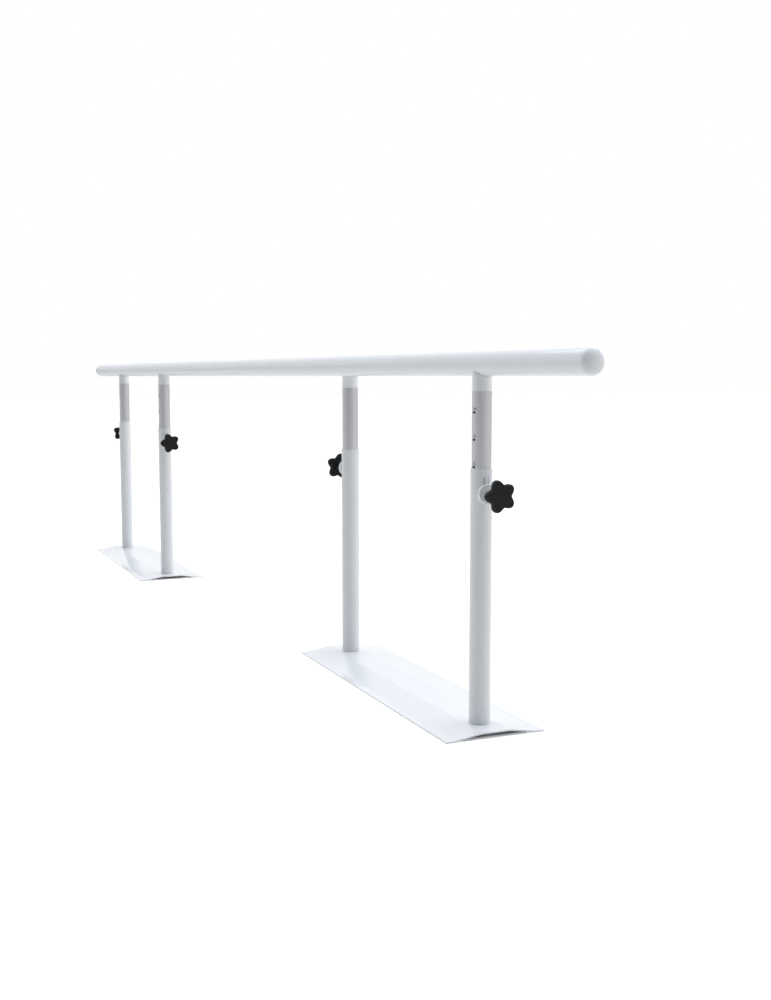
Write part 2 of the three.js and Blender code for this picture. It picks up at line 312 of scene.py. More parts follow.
def rounded(corners, closed, steps=5):
    """A profile of (radius, height, rounding) corners with each corner turned into an arc.

    Each arc is the curve (1-t)^2 a + 2t(1-t) p + t^2 b between points a and b, which lie one
    rounding away from the corner p along its two sides. One more point on each side, half a
    rounding further off, keeps the shading of the straight sides even.
    """
    points = np.array([corner[:2] for corner in corners], float)
    before, after = np.roll(points, 1, axis=0), np.roll(points, -1, axis=0)
    if not closed:
        before[0], after[-1] = points[0], points[-1]
    t = np.linspace(0, 1, steps)[:, None]
    parts = []
    for point, previous, following, corner in zip(points, before, after, corners):
        rounding = corner[2] if len(corner) > 2 else 0
        if not rounding:
            parts.append(point[None])
            continue
        back = (previous - point) / np.linalg.norm(previous - point) * rounding
        ahead = (following - point) / np.linalg.norm(following - point) * rounding
        arc = (1 - t) ** 2 * (point + back) + 2 * t * (1 - t) * point + t**2 * (point + ahead)
        parts += [(point + ARC_MARGIN * back)[None], arc, (point + ARC_MARGIN * ahead)[None]]
    return np.concatenate(parts)


def spaced(profile, longest):
    """The same open profile with no side longer than the given length, each split evenly."""
    parts = [profile[:1]]
    for start, end in zip(profile, profile[1:]):
        count = max(1, math.ceil(np.linalg.norm(end - start) / longest - SPLIT_SLACK))
        parts.append(start + (end - start) * np.linspace(0, 1, count + 1)[1:, None])
    return np.concatenate(parts)


def revolved(radii, heights, sides, closed):
    """Points (r cos a, r sin a, h) with one row for each profile point and one column for each angle.

    radii and heights may be one number for each row, or whole rows x sides arrays. A row of zero
    radius is a single pole, and the cells next to it are triangles.
    """
    angles = turn_angles(sides)
    rows = len(heights)
    radii = np.broadcast_to(np.reshape(radii, (rows, -1)), (rows, sides))
    heights = np.broadcast_to(np.reshape(heights, (rows, -1)), (rows, sides))
    points = np.stack([radii * np.cos(angles), radii * np.sin(angles), heights], axis=-1)
    return points.reshape(-1, 3), revolved_faces(radii.max(axis=1) < TINY, sides, closed)


def revolved_faces(pole, sides, closed):
    """Faces of a turned grid, in quads, and in triangles beside the rows that are poles."""
    cells = grid_cells(len(pole), sides, closed, True)
    foot_pole, head_pole = pole[: len(cells)], np.roll(pole, -1)[: len(cells)]
    first_fan = cells[foot_pole].reshape(-1, 4)
    last_fan = cells[head_pole].reshape(-1, 4)
    return [
        cells[~foot_pole & ~head_pole].reshape(-1, 4),
        np.stack([first_fan[:, 0] // sides * sides, first_fan[:, 2], first_fan[:, 3]], axis=-1),
        np.stack([last_fan[:, 0], last_fan[:, 1], last_fan[:, 3] // sides * sides], axis=-1),
    ]


def lathe(corners, sides):
    """A closed profile of (radius, height, rounding) corners turned about Z."""
    profile = rounded(corners, True)
    profile = spaced(np.concatenate([profile, profile[:1]]), LONGEST_SIDE)[:-1]
    return revolved(profile[:, 0], profile[:, 1], sides, True)


def pierced_shell(outer, inner, gone, wrap):
    """A wall between two grids of the same shape, with the cells in gone left open.

    Every edge between a kept cell and an open one, or the grid's border, gets a face that joins
    the outer surface to the inner one.
    """
    rows, cols = outer.shape[:2]
    count = rows * cols
    cells = grid_cells(rows, cols, False, wrap)
    kept = ~gone[:, : cells.shape[1]]
    framed = np.pad(kept, 1)
    if wrap:
        framed[1:-1, 0], framed[1:-1, -1] = kept[:, -1], kept[:, 0]
    neighbours = (framed[:-2, 1:-1], framed[1:-1, 2:], framed[2:, 1:-1], framed[1:-1, :-2])
    faces = [cells[kept], cells[kept][:, ::-1] + count]
    for side, neighbour in enumerate(neighbours):
        edge = cells[kept & ~neighbour][:, [side, (side + 1) % 4]]
        faces.append(np.column_stack([edge[:, 1], edge[:, 0], edge + count]))
    return np.concatenate([outer.reshape(-1, 3), inner.reshape(-1, 3)]), faces


def drilled(across, along, col, row, cell, hole, core):
    """Draws a grid of points in towards a hole with round ends, and says which cells it takes.

    hole is half its width and half its height, the same for a round one. Core is half the block
    of cells that it takes, across and along. A point on the block's border goes to the outline,
    which is a straight middle's nearest point plus half the height towards the border point. One
    a span further off stays where it is, with an even change between.
    """
    rows, cols = across.shape
    half_width, half_height = hole
    di = np.arange(rows)[:, None] - row
    dj = (np.arange(cols)[None, :] - col + cols // 2) % cols - cols // 2
    beyond = np.maximum(np.abs(dj) - core[0], np.abs(di) - core[1])
    share = np.clip(beyond / HOLE_SPAN, 0, 1)
    block = np.maximum(np.maximum(np.abs(dj) / core[0], np.abs(di) / core[1]), TINY)
    border_across, border_along = half_width * dj / core[0] / block, half_height * di / core[1] / block
    straight = half_width - half_height
    middle = np.clip(border_across, -straight, straight)
    length = np.maximum(np.hypot(border_across - middle, border_along), TINY)
    outline_across = middle + half_height * (border_across - middle) / length
    outline_along = half_height * border_along / length
    bent_across = share * dj * cell + (1 - share) * outline_across
    bent_along = along[row, col % cols] + share * di * cell + (1 - share) * outline_along
    moves = (beyond >= 0) & (beyond <= HOLE_SPAN)
    inside = (di[:-1] >= -core[1]) & (di[:-1] < core[1]) & (dj >= -core[0]) & (dj < core[0])
    return np.where(moves, bent_across, across), np.where(moves, bent_along, along), inside


def hole_rows(foot, top, holes, cell, core, step):
    """Rows every step from foot to top, with a row for each cell near every hole."""
    reach = core + HOLE_SPAN
    near = (np.array(holes)[:, None] + cell * np.arange(-reach, reach + 1)).ravel()
    plain = np.linspace(foot, top, math.ceil((top - foot) / step) + 1)
    clear = np.abs(plain[:, None] - np.array(holes)).min(axis=1) > (reach + 1) * cell
    return np.unique(np.round(np.concatenate([near, plain[clear]]), GRID_DIGITS))


def nearest(values, wanted):
    return int(np.abs(np.asarray(values) - wanted).argmin())


def rim_drop(distance, rounding):
    """How far a rounded rim draws in at a distance from its end: r - sqrt(r^2 - (r - d)^2)."""
    short = np.clip(rounding - distance, 0, rounding)
    return rounding - np.sqrt(rounding**2 - short**2)


def rim_rows(end, rounding, inwards):
    """Rows that follow a rounded rim, from its end to a little past the rounding."""
    return end + inwards * rounding * np.array(RIM_SHARES)


# Pieces

def sizes():
    return bpy.context.scene.walking_bars_sizes


def colours():
    return bpy.context.scene.walking_bars_colours


def linked(name, data):
    """A new object in the scene."""
    made = bpy.data.objects.new(name, data)
    bpy.context.scene.collection.objects.link(made)
    return made


def volume(points, groups):
    """Signed volume: a sixth of the sum of a . (b x c) over the triangles of every face."""
    total = 0.0
    for group in groups:
        for last in range(2, group.shape[1]):
            a, b, c = (points[group[:, corner]] for corner in (0, last - 1, last))
            total += np.einsum("ij,ij->", a, np.cross(b, c)) / 6
    return total


def make_piece(name, surface, place, finish, nodes):
    """Puts a closed surface into the scene, in place of the CAD nodes that it stands for.

    The points are in the piece's own frame, which place sets out as an origin and three unit
    vectors. They are kept in the attribute own_place, which the finishes read.
    """
    local, faces = surface
    groups = [np.asarray(group) for group in faces if len(group)]
    used = np.unique(np.concatenate([group.ravel() for group in groups]))
    groups = [np.searchsorted(used, group) for group in groups]
    local = local[used]
    points = placed(local, *place)
    mesh = bpy.data.meshes.new(name)
    mesh.from_pydata(points.tolist(), [], [corners for group in groups for corners in group.tolist()])
    if volume(points - points.mean(axis=0), groups) < 0:
        mesh.flip_normals()
    own = mesh.attributes.new("own_place", "FLOAT_VECTOR", "POINT")
    own.data.foreach_set("vector", local.astype(np.float32).ravel())
    mesh.shade_smooth()
    mesh.set_sharp_from_angle(angle=SHARP_ANGLE)
    return add_piece(name, mesh, finish, nodes)


def make_at(place, spot, name, surface, finish, part):
    """Makes the piece that stands for one part at a place."""
    return make_piece(f"{name}_{place}", surface(place), spot, finish, [f"{part}_{place}"])


def add_piece(name, mesh, finish, nodes, replaced=True):
    """Links a mesh, gives it its finish, and makes it ride where its CAD nodes ride."""
    piece = linked(name, mesh)
    material, slot = finished(finish)
    mesh.materials.append(material)
    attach(piece, body_of(nodes[0]))
    if replaced:
        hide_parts(*nodes)
    return piece


# Rails

def tube_profile(shape, rim):
    """The profile of a plain tube or ring with rounded rims."""
    return [
        (shape.bore, shape.low, rim),
        (shape.radius, shape.low, rim),
        (shape.radius, shape.high, rim),
        (shape.bore, shape.high, rim),
    ]


def rail_surface(node):
    """A plain tube with rounded rims."""
    return lathe(tube_profile(extent(node, node_middle(node), ALONG), sizes().seam_rim), TUBE_SIDES)


def cap_surface(node, face, side):
    """A hollow spigot, a flange, and a dome of half an ellipse: r = R cos t, h = rise sin t."""
    axis = ALONG * side
    cap = extent(node, face, axis)
    foot = sizes().seat_gap
    spigot = extent(f"rail_{node.rsplit('_', 1)[1]}", face, axis).bore - foot
    wall, flange = sizes().cap_wall, sizes().cap_flange
    rise = cap.high - foot - flange
    t = np.linspace(0, np.pi / 2, DOME_STEPS)
    dome = np.stack([cap.radius * np.cos(t), foot + flange + rise * np.sin(t)], axis=-1)
    body = [
        (0, -wall),
        (spigot - wall, -wall),
        (spigot - wall, cap.low, wall / 4),
        (spigot, cap.low, wall / 4),
        (spigot, foot),
        (cap.radius, foot, sizes().seam_rim),
        (cap.radius, foot + flange / 2),
    ]
    profile = np.concatenate([rounded(body, False), dome])
    return revolved(profile[:, 0], profile[:, 1], TUBE_SIDES, False)


def stub_surface(place):
    """A short tube whose top follows the rail: height = axis - sqrt(R^2 - (r sin a)^2).

    Its upper rim is drawn in, and leaves the fine groove that shows where it meets the rail.
    """
    stub = post_extent("rail_stub", place)
    rail = f"rail_{place.split('_')[1]}"
    middle = node_middle(rail)
    rail_radius = extent(rail, middle, ALONG).radius + sizes().seat_gap
    rim, groove = sizes().rim, sizes().saddle_groove
    sines = np.sin(turn_angles(TUBE_SIDES))

    def saddle(r):
        return middle[2] - np.sqrt(rail_radius**2 - (r * sines) ** 2)

    rows = [(stub.radius - rim_drop(h - stub.low, rim), h) for h in rim_rows(stub.low, rim, 1)]
    wall_foot = rows[-1][1]
    wall_rise = saddle(stub.radius) - groove - wall_foot
    rows += [(stub.radius, wall_foot + share * wall_rise) for share in STUB_SHARES]
    for turn in np.linspace(0, np.pi / 2, GROOVE_STEPS)[1:]:
        r = stub.radius - groove * (1 - math.cos(turn))
        rows.append((r, saddle(r) - groove * (1 - math.sin(turn))))
    rows += [(stub.bore, saddle(stub.bore)), (stub.bore, stub.low)]
    heights = np.array([height + np.zeros(TUBE_SIDES) for r, height in rows])
    return revolved([r for r, height in rows], heights, TUBE_SIDES, True)


# Inner tubes

def tube_grid(heights, sides, cell):
    """Places round and up an unrolled tube, and the cells that are open, which is none yet."""
    across = np.arange(sides) * cell + np.zeros((len(heights), 1))
    along = heights[:, None] + np.zeros((1, sides))
    return across, along, np.zeros((len(heights) - 1, sides), bool)


def tube_shell(outside, inside, angles, heights, gone):
    """A pierced tube through points (r cos a, r sin a, h), with one radius a row on each side."""
    outer, inner = (
        np.stack([radii[:, None] * np.cos(angles), radii[:, None] * np.sin(angles), heights], axis=-1)
        for radii in (outside, inside)
    )
    return pierced_shell(outer, inner, gone, True)


def leg_surface(place):
    """A tube with a row of index slots, drawn in at its top to a neck inside the stub."""
    leg, stub = post_extent("inner_tube", place), post_extent("rail_stub", place)
    gap, rim = sizes().seat_gap, sizes().rim
    shoulder, neck = stub.low - gap, stub.bore - gap
    draw_foot, draw_top = shoulder - 2 * NECK_DRAW, shoulder - NECK_DRAW
    cell = 2 * np.pi * leg.radius / LEG_SIDES
    heights = hole_rows(leg.low, shoulder, index_heights(place), cell, SLOT_CORE[1], LONGEST_TUBE_ROW)
    heights = np.unique(np.concatenate([
        heights[(heights > leg.low + 2 * rim) & (heights < draw_foot - NECK_DRAW)],
        rim_rows(leg.low, rim, 1),
        rim_rows(shoulder, rim, -1),
        (draw_foot, draw_top, shoulder + gap / 2),
        np.linspace(shoulder + NECK_DRAW, leg.high - 2 * rim, NECK_ROWS),
        rim_rows(leg.high, rim, -1),
    ]))
    outside = np.where(
        heights <= shoulder,
        leg.radius - rim_drop(heights - leg.low, rim) - rim_drop(np.abs(shoulder - heights), rim),
        neck - rim_drop(leg.high - heights, rim / 2),
    )
    bores = np.array((leg.radius, neck)) - sizes().leg_wall
    inside = np.interp(heights, [draw_foot, draw_top], bores)
    across, along, gone = tube_grid(heights, LEG_SIDES, cell)
    slot = (sizes().index_slot_width / 2, sizes().index_slot_height / 2)
    for height in index_heights(place):
        row = nearest(heights, height)
        across, along, taken = drilled(across, along, 0, row, cell, slot, SLOT_CORE)
        gone |= taken
    return tube_shell(outside, inside, across / leg.radius, along, gone)


def index_heights(place):
    """The index slots' heights, with the one in use level with the clamp."""
    in_use = clamp_point(place)[2] - sizes().index_drop
    return in_use + sizes().index_pitch * (sizes().index_in_use - np.arange(sizes().index_count))


def number_mesh(number):
    """A flat figure as a mesh, centred across and standing on its line."""
    text = bpy.data.curves.new("number", "FONT")
    text.body = str(number)
    text.size = sizes().number_height / FIGURE_SHARE
    text.align_x = "CENTER"
    text.extrude = FIGURE_DEPTH
    text.offset = sizes().stroke_growth
    figure = bpy.data.objects.new("number", text)
    mesh = bpy.data.meshes.new_from_object(figure)
    bpy.data.objects.remove(figure)
    return mesh


def make_numbers(place):
    """A plain number above each index slot, counting down from the top, printed round the tube.

    A flat figure at x, y goes to angle x / R and height y, and its thickness becomes radius.
    """
    radius = post_extent("inner_tube", place).radius
    whole = bmesh.new()
    for count, height in enumerate(index_heights(place)):
        mesh = number_mesh(sizes().first_number - count)
        before = len(whole.verts)
        whole.from_mesh(mesh)
        bpy.data.meshes.remove(mesh)
        whole.verts.ensure_lookup_table()
        shift = (sizes().number_shift, height + sizes().number_rise, 0)
        bmesh.ops.translate(whole, verts=whole.verts[before:], vec=shift)
    for cut in np.arange(FIGURE_REACH[0], FIGURE_REACH[1] + FIGURE_CUT / 4, FIGURE_CUT):
        everything = whole.verts[:] + whole.edges[:] + whole.faces[:]
        bmesh.ops.bisect_plane(whole, geom=everything, plane_co=(cut, 0, 0), plane_no=(1, 0, 0))
    bmesh.ops.remove_doubles(whole, verts=whole.verts[:], dist=WELD_REACH)
    bmesh.ops.triangulate(whole, faces=whole.faces[:])
    mesh = bpy.data.meshes.new(f"numbers_{place}")
    whole.to_mesh(mesh)
    whole.free()
    x, y, z = mesh_points(mesh).T
    away = radius + np.where(z > 0, sizes().ink_thickness, -sizes().ink_thickness)
    local = np.stack([away * np.cos(x / radius), away * np.sin(x / radius), y], axis=-1)
    points = placed(local, post_foot(place), leg_axes(place))
    mesh.vertices.foreach_set("co", points.astype(np.float32).ravel())
    mesh.update()
    return add_piece(f"numbers_{place}", mesh, "number_ink", [f"inner_tube_{place}"], False)


# Outer tubes

def sleeve_surface(place):
    """A tube with a round hole for the stud, and two fine slits above it."""
    tube = post_extent("outer_tube", place)
    clamp = clamp_point(place)[2]
    rim, foot_rim = sizes().rim, sizes().rim / 4
    cell = 2 * np.pi * tube.radius / TUBE_SIDES
    slit_foot = clamp + (HOLE_CORE[1] + HOLE_SPAN + 1) * cell
    slit_top = tube.high - sizes().slit_drop
    heights = hole_rows(tube.low, tube.high, [clamp], cell, HOLE_CORE[1], LONGEST_TUBE_ROW)
    plain = (heights > tube.low + 2 * rim) & (heights < tube.high - 2 * rim)
    plain &= (heights < slit_foot - SLIT_CLEAR_BELOW) | (heights > slit_top + SLIT_CLEAR_ABOVE)
    heights = np.unique(np.concatenate([
        heights[plain],
        np.linspace(slit_foot, slit_top, SLIT_ROWS),
        rim_rows(tube.low, foot_rim, 1),
        rim_rows(tube.high, rim, -1),
    ]))
    outside = tube.radius - rim_drop(heights - tube.low, foot_rim) - rim_drop(tube.high - heights, rim)
    inside = np.full(len(heights), tube.bore)
    across, along, gone = tube_grid(heights, TUBE_SIDES, cell)
    hole = (clamp_extent("threaded_insert", place).bore,) * 2
    across, along, gone = drilled(across, along, 0, nearest(heights, clamp), cell, hole, HOLE_CORE)
    first, last = nearest(heights, slit_foot), nearest(heights, slit_top)
    near = sizes().slit_spacing / 2 - sizes().slit_width / 2
    near_column, far_column = SLIT_COLUMNS
    for side in (1, -1):
        across[first : last + 1, side * near_column] = side * near
        across[first : last + 1, side * far_column] = side * (near + sizes().slit_width)
        gone[first:last, near_column if side > 0 else -far_column] = True
    return tube_shell(outside, inside, across / tube.radius, along, gone)


def bush_surface(place):
    """A plain ring about a post's axis with rounded rims."""
    return lathe(tube_profile(post_extent("guide_bush", place), sizes().rim / 2), TUBE_SIDES)


# Clamps

def boss_surface(place):
    """A shallow cup that stands just off the tube on a narrower neck, with a bore for the stud.

    The neck's foot follows the tube: reach = sqrt(R^2 - (r cos a)^2).
    """
    boss = clamp_extent("clamp_boss", place)
    back = boss.high - sizes().boss_cup
    floor = back + sizes().boss_floor
    cup_bore = clamp_extent("threaded_insert", place).radius + sizes().seat_gap
    tube_radius = post_extent("outer_tube", place).radius + sizes().skin_gap
    neck, rim = sizes().boss_neck / 2, sizes().boss_rim
    slant = sizes().boss_slant * (boss.radius - cup_bore)
    foot_radii = np.linspace(boss.bore, neck, FOOT_RINGS)
    foot = np.sqrt(tube_radius**2 - np.outer(foot_radii, np.cos(turn_angles(SMALL_SIDES))) ** 2)
    cup = rounded([
        (neck, back),
        (boss.radius, back, rim),
        (boss.radius, boss.high - slant, rim),
        (boss.radius - slant, boss.high, rim),
        (cup_bore, boss.high, rim / 2),
        (cup_bore, floor, rim / 2),
        (boss.bore, floor),
    ], False)
    cup = spaced(cup, LONGEST_CUP_SIDE)
    radii = np.concatenate([foot_radii, cup[:, 0]])
    heights = np.concatenate([foot, np.repeat(cup[:, 1:], SMALL_SIDES, axis=1)])
    return revolved(radii, heights, SMALL_SIDES, True)


def insert_surface(place):
    """A turned ring with a chamfered thread mouth."""
    insert = clamp_extent("threaded_insert", place)
    rim, chamfer = sizes().insert_rim, sizes().insert_chamfer
    return lathe([
        (insert.bore, insert.low),
        (insert.radius, insert.low, rim),
        (insert.radius, insert.high, rim),
        (insert.bore + chamfer, insert.high, rim / 2),
        (insert.bore, insert.high - chamfer, rim / 2),
    ], SMALL_SIDES)


def stud_surface(place):
    """A pin and a threaded rod: r = R - depth x triangle wave of (height / pitch - turn).

    The rod's shoulder stands just clear of the thrust pad's back, and the thread fades in from it.
    """
    stud = clamp_extent("threaded_stud", place)
    shoulder = clamp_extent("thrust_pad", place).high + sizes().seat_gap
    pitch, pin = sizes().thread_pitch, sizes().pin_radius
    rows = math.ceil((stud.high - shoulder) / pitch * THREAD_ROWS)
    heights = np.linspace(shoulder, stud.high, rows + 1)
    phase = heights[:, None] / pitch - np.arange(THREAD_SIDES) / THREAD_SIDES
    wave = np.abs(2 * (phase - np.floor(phase)) - 1)
    groove = THREAD_DEPTH_SHARE * pitch * np.clip(THREAD_SLOPE * wave - THREAD_CREST, 0, 1)
    fade = np.clip((heights - shoulder) / THREAD_FADE, 0, 1)[:, None]
    thread = (stud.radius - groove) * (TIP_SHARE + (1 - TIP_SHARE) * fade)
    ends = np.array([
        (0, stud.low),
        (TIP_SHARE * pin, stud.low),
        (pin, stud.low + (1 - TIP_SHARE) * pin),
        (pin, shoulder),
        (TIP_SHARE * stud.radius, stud.high),
        (0, stud.high),
    ])
    end_radii = np.repeat(ends[:, :1], THREAD_SIDES, axis=1)
    radii = np.concatenate([end_radii[:4], thread, end_radii[4:]])
    heights = np.concatenate([ends[:4, 1], heights, ends[4:, 1]])
    return revolved(radii, heights, THREAD_SIDES, False)


def knob_face(place):
    """How far a knob's face stands out from its post's axis, at the face's rim."""
    return clamp_extent("star_knob", place).high - sizes().knob_crown


def lobe_turn(place):
    """The angle of one lobe of a star knob, from the farthest corner of its node."""
    offset = node_points(f"star_knob_{place}") - clamp_point(place)
    across, along = (offset @ axis for axis in clamp_axes(place)[:2])
    farthest = np.hypot(across, along).argmax()
    return math.atan2(along[farthest], across[farthest])


def star_outline(place):
    """A star's outline and its outward normals.

    The outline is r = middle + swing (cos(5 a) - blunt cos(10 a)).
    """
    swing = sizes().knob_swing
    middle = clamp_extent("star_knob", place).radius - swing * (1 - BLUNT)
    angles = turn_angles(KNOB_SIDES)
    phase = LOBES * (angles - lobe_turn(place))
    radius = middle + swing * (np.cos(phase) - BLUNT * np.cos(2 * phase))
    slope = LOBES * swing * (2 * BLUNT * np.sin(2 * phase) - np.sin(phase))
    radial = np.stack([np.cos(angles), np.sin(angles)], axis=-1)
    across = np.stack([-np.sin(angles), np.cos(angles)], axis=-1)
    tangent = slope[:, None] * radial + radius[:, None] * across
    normal = np.stack([tangent[:, 1], -tangent[:, 0]], axis=-1)
    return radial, radius[:, None] * radial, normal / np.linalg.norm(normal, axis=1)[:, None]


def knob_surface(place):
    """A star with five lobes on a round hub, with a blind bore for the stud.

    Its edges step in along the outline's normal, and the face swells by crown x (1 - s^2)
    towards its middle.
    """
    knob = clamp_extent("star_knob", place)
    radial, outline, normal = star_outline(place)
    bore = clamp_extent("threaded_insert", place).bore
    back = knob.high - sizes().knob_thickness
    edge, crown = sizes().knob_edge, sizes().knob_crown
    face = knob.high - crown
    hub = sizes().knob_hub / 2
    bore_end = knob.low + sizes().knob_bore
    flat = outline - edge * normal
    hub_profile = rounded([
        (bore, bore_end),
        (bore, knob.low, HUB_BORE_EDGE),
        (hub, knob.low, HUB_EDGE),
        (hub, back, HUB_FILLET),
        (hub + HUB_APRON, back),
    ], False)
    rings = [(0 * radial, bore_end), (bore * radial, bore_end)]
    rings += [(r * radial, height) for r, height in hub_profile[1:]]
    start = (hub + HUB_APRON) * radial
    rings += [(start + share * (flat - start), back) for share in BACK_SHARES]
    quarter = np.linspace(0, np.pi / 2, EDGE_STEPS)
    rounding = [(edge * (1 - math.sin(turn)), edge * (1 - math.cos(turn))) for turn in quarter]
    rings += [(outline - inset * normal, back + rise) for inset, rise in rounding]
    side = knob.high - back - 2 * edge
    rings += [(outline, back + edge + share * side) for share in SIDE_SHARES]
    rings += [(outline - inset * normal, face - drop) for drop, inset in rounding]
    rings += [(share * flat, face + crown * (1 - share**2)) for share in FACE_SHARES]
    points = np.array([np.column_stack([ring, np.full(KNOB_SIDES, height)]) for ring, height in rings])
    pole = np.array([np.abs(ring).max() < TINY for ring, height in rings])
    return points.reshape(-1, 3), revolved_faces(pole, KNOB_SIDES, False)


# Bases

def base_half_sizes(part, end):
    """Half the length and width of a base's sheet or plate."""
    return [extent(f"{part}_{end}", base_middle(end), axis).high for axis in base_axes(end)[:2]]


def drilled_sheet(end, half_sizes, ridges, hole, core, cell, line, thickness):
    """A sheet with a hole at each of its two posts, whose underside follows a line across it."""
    half_length, half_width = half_sizes
    posts = [(post_foot(f"{end}_{post}") - base_middle(end)) @ base_axes(end)[0] for post in POSTS]
    lengths = hole_rows(-half_length, half_length, posts, cell, core, LONGEST_BASE_ROW)
    near = cell * np.arange(-core - HOLE_SPAN, core + HOLE_SPAN + 1)
    edges = (-half_width, half_width)
    widths = np.unique(np.round(np.concatenate([near, ridges, -np.array(ridges), edges]), GRID_DIGITS))
    across = widths[None, :] + np.zeros((len(lengths), 1))
    along = lengths[:, None] + np.zeros((1, len(widths)))
    gone = np.zeros((len(lengths) - 1, len(widths)), bool)
    radii, block = (hole / 2, hole / 2), (core, core)
    for post in posts:
        row, col = nearest(lengths, post), nearest(widths, 0)
        across, along, taken = drilled(across, along, col, row, cell, radii, block)
        gone |= taken
    height = np.interp(np.abs(across), *np.transpose(line))
    under = np.stack([along, across, height], axis=-1)
    return pierced_shell(under + thickness * UP, under, gone, False)


def sheet_surface(end):
    """A folded sheet: height = the crown's, the slope's and the flange's lines, joined by bends.

    A bend between two lines is the curve (1-t)^2 a + 2t(1-t) p + t^2 b, one bend's reach each way.
    """
    halves = base_half_sizes("base_top_sheet", end)
    thickness, bend = sizes().sheet_thickness, sizes().bend_reach
    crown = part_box(f"base_top_sheet_{end}")[1][2] - thickness
    crown_edge, slope_foot = sizes().crown_width / 2, halves[1] - sizes().flange_width
    corners = [(0, crown), (crown_edge, crown, bend), (slope_foot, 0, bend), (halves[1], 0)]
    line = rounded(corners, False, BEND_STEPS)
    ridges = np.concatenate([line[1:-1, 0], (crown_edge - 2 * bend, *SLOPE_RIDGES)])
    hole = sizes().screw_hole
    return drilled_sheet(end, halves, ridges, hole, SHEET_CORE, SHEET_CELL, line, thickness)


def plate_surface(end):
    """A flat plate with a round access hole under each post."""
    halves = base_half_sizes("base_bottom_plate", end)
    thickness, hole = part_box(f"base_bottom_plate_{end}")[1][2], sizes().access_hole
    flat = ((0, 0), (halves[1], 0))
    return drilled_sheet(end, halves, PLATE_RIDGES, hole, PLATE_CORE, PLATE_CELL, flat, thickness)


def bevel_edges(piece):
    """Rounds a sheet's cut edges."""
    bevel = piece.modifiers.new("Cut edges", "BEVEL")
    bevel.width = sizes().cut_edge
    bevel.segments = CUT_EDGE_STEPS
    bevel.limit_method = "ANGLE"
    bevel.angle_limit = CUT_EDGE_ANGLE
    bevel.harden_normals = True


# Shader building blocks

def feed(tree, inputs, values):
    """Links each value that is an output to its input, and sets the plain ones."""
    for key, value in values.items():
        if isinstance(value, bpy.types.NodeSocket):
            tree.links.new(value, inputs[key])
        else:
            inputs[key].default_value = value


def add(tree, kind, values=None, **settings):
    """Adds a shader node, sets its plain settings, and feeds its inputs with values or outputs."""
    made = tree.nodes.new(kind)
    for key, value in settings.items():
        setattr(made, key, value)
    feed(tree, made.inputs, values or {})
    return made


def math_node(tree, operation, *values, clamp=False):
    inputs = dict(enumerate(values))
    return add(tree, "ShaderNodeMath", inputs, operation=operation, use_clamp=clamp).outputs[0]


def scaled(tree, value, factor, added=0.0, clamp=False):
    """value x factor + added."""
    return math_node(tree, "MULTIPLY_ADD", value, factor, added, clamp=clamp)


def positive(tree, value):
    return math_node(tree, "MAXIMUM", value, 0.0)


def vector_node(tree, operation, *values):
    return add(tree, "ShaderNodeVectorMath", dict(enumerate(values)), operation=operation).outputs


def stretched(tree, vector, scale):
    """A vector times a scale along each axis."""
    return vector_node(tree, "MULTIPLY", vector, scale)["Vector"]


def height_of(tree, vector):
    """A vector's Z."""
    return add(tree, "ShaderNodeSeparateXYZ", {0: vector}).outputs["Z"]


def axis_distance(tree, vector):
    """How far a point is from its piece's own Z axis."""
    return vector_node(tree, "LENGTH", stretched(tree, vector, (1.0, 1.0, 0.0)))["Value"]


def noise(tree, vector, scale, detail=2.0, roughness=0.5):
    values = {"Vector": vector, "Scale": scale, "Detail": detail, "Roughness": roughness}
    return add(tree, "ShaderNodeTexNoise", values).outputs["Fac"]


def remapped(tree, value, low, high, to_low=0.0, to_high=1.0):
    values = {"Value": value, "From Min": low, "From Max": high, "To Min": to_low, "To Max": to_high}
    return add(tree, "ShaderNodeMapRange", values, clamp=True).outputs["Result"]


def mixed(tree, share, first, second):
    """first x (1 - share) + second x share, for colours."""
    return add(tree, "ShaderNodeMix", {0: share, 6: first, 7: second}, data_type="RGBA").outputs[2]


def rgba(colour, factor=1.0):
    return (*(min(1.0, part * factor) for part in colour), 1.0)


# Shader groups

def new_group(name, numbers, outputs):
    """An empty shader group that takes a vector and some numbers, and gives some numbers."""
    tree = bpy.data.node_groups.new(name, "ShaderNodeTree")
    tree.interface.new_socket("Vector", in_out="INPUT", socket_type="NodeSocketVector")
    for label, default in numbers.items():
        socket = tree.interface.new_socket(label, in_out="INPUT", socket_type="NodeSocketFloat")
        socket.default_value = default
    for label in outputs:
        tree.interface.new_socket(label, in_out="OUTPUT", socket_type="NodeSocketFloat")
    given = tree.nodes.new("NodeGroupInput").outputs
    return tree, given, given["Vector"], tree.nodes.new("NodeGroupOutput").inputs


def powder_texture():
    """Orange peel of sprayed and baked powder: soft dimples, finer ones on them, and cloudy gloss."""
    tree, given, vector, wanted = new_group("powder_texture", {"Dimples": 420.0}, ("Height", "Cloud"))
    coarse = noise(tree, vector, given["Dimples"], 1.0)
    fine = noise(tree, vector, scaled(tree, given["Dimples"], 2.7), 1.0)
    tree.links.new(scaled(tree, fine, 0.35, coarse), wanted["Height"])
    tree.links.new(noise(tree, vector, 5.0, 3.0, 0.6), wanted["Cloud"])
    return tree


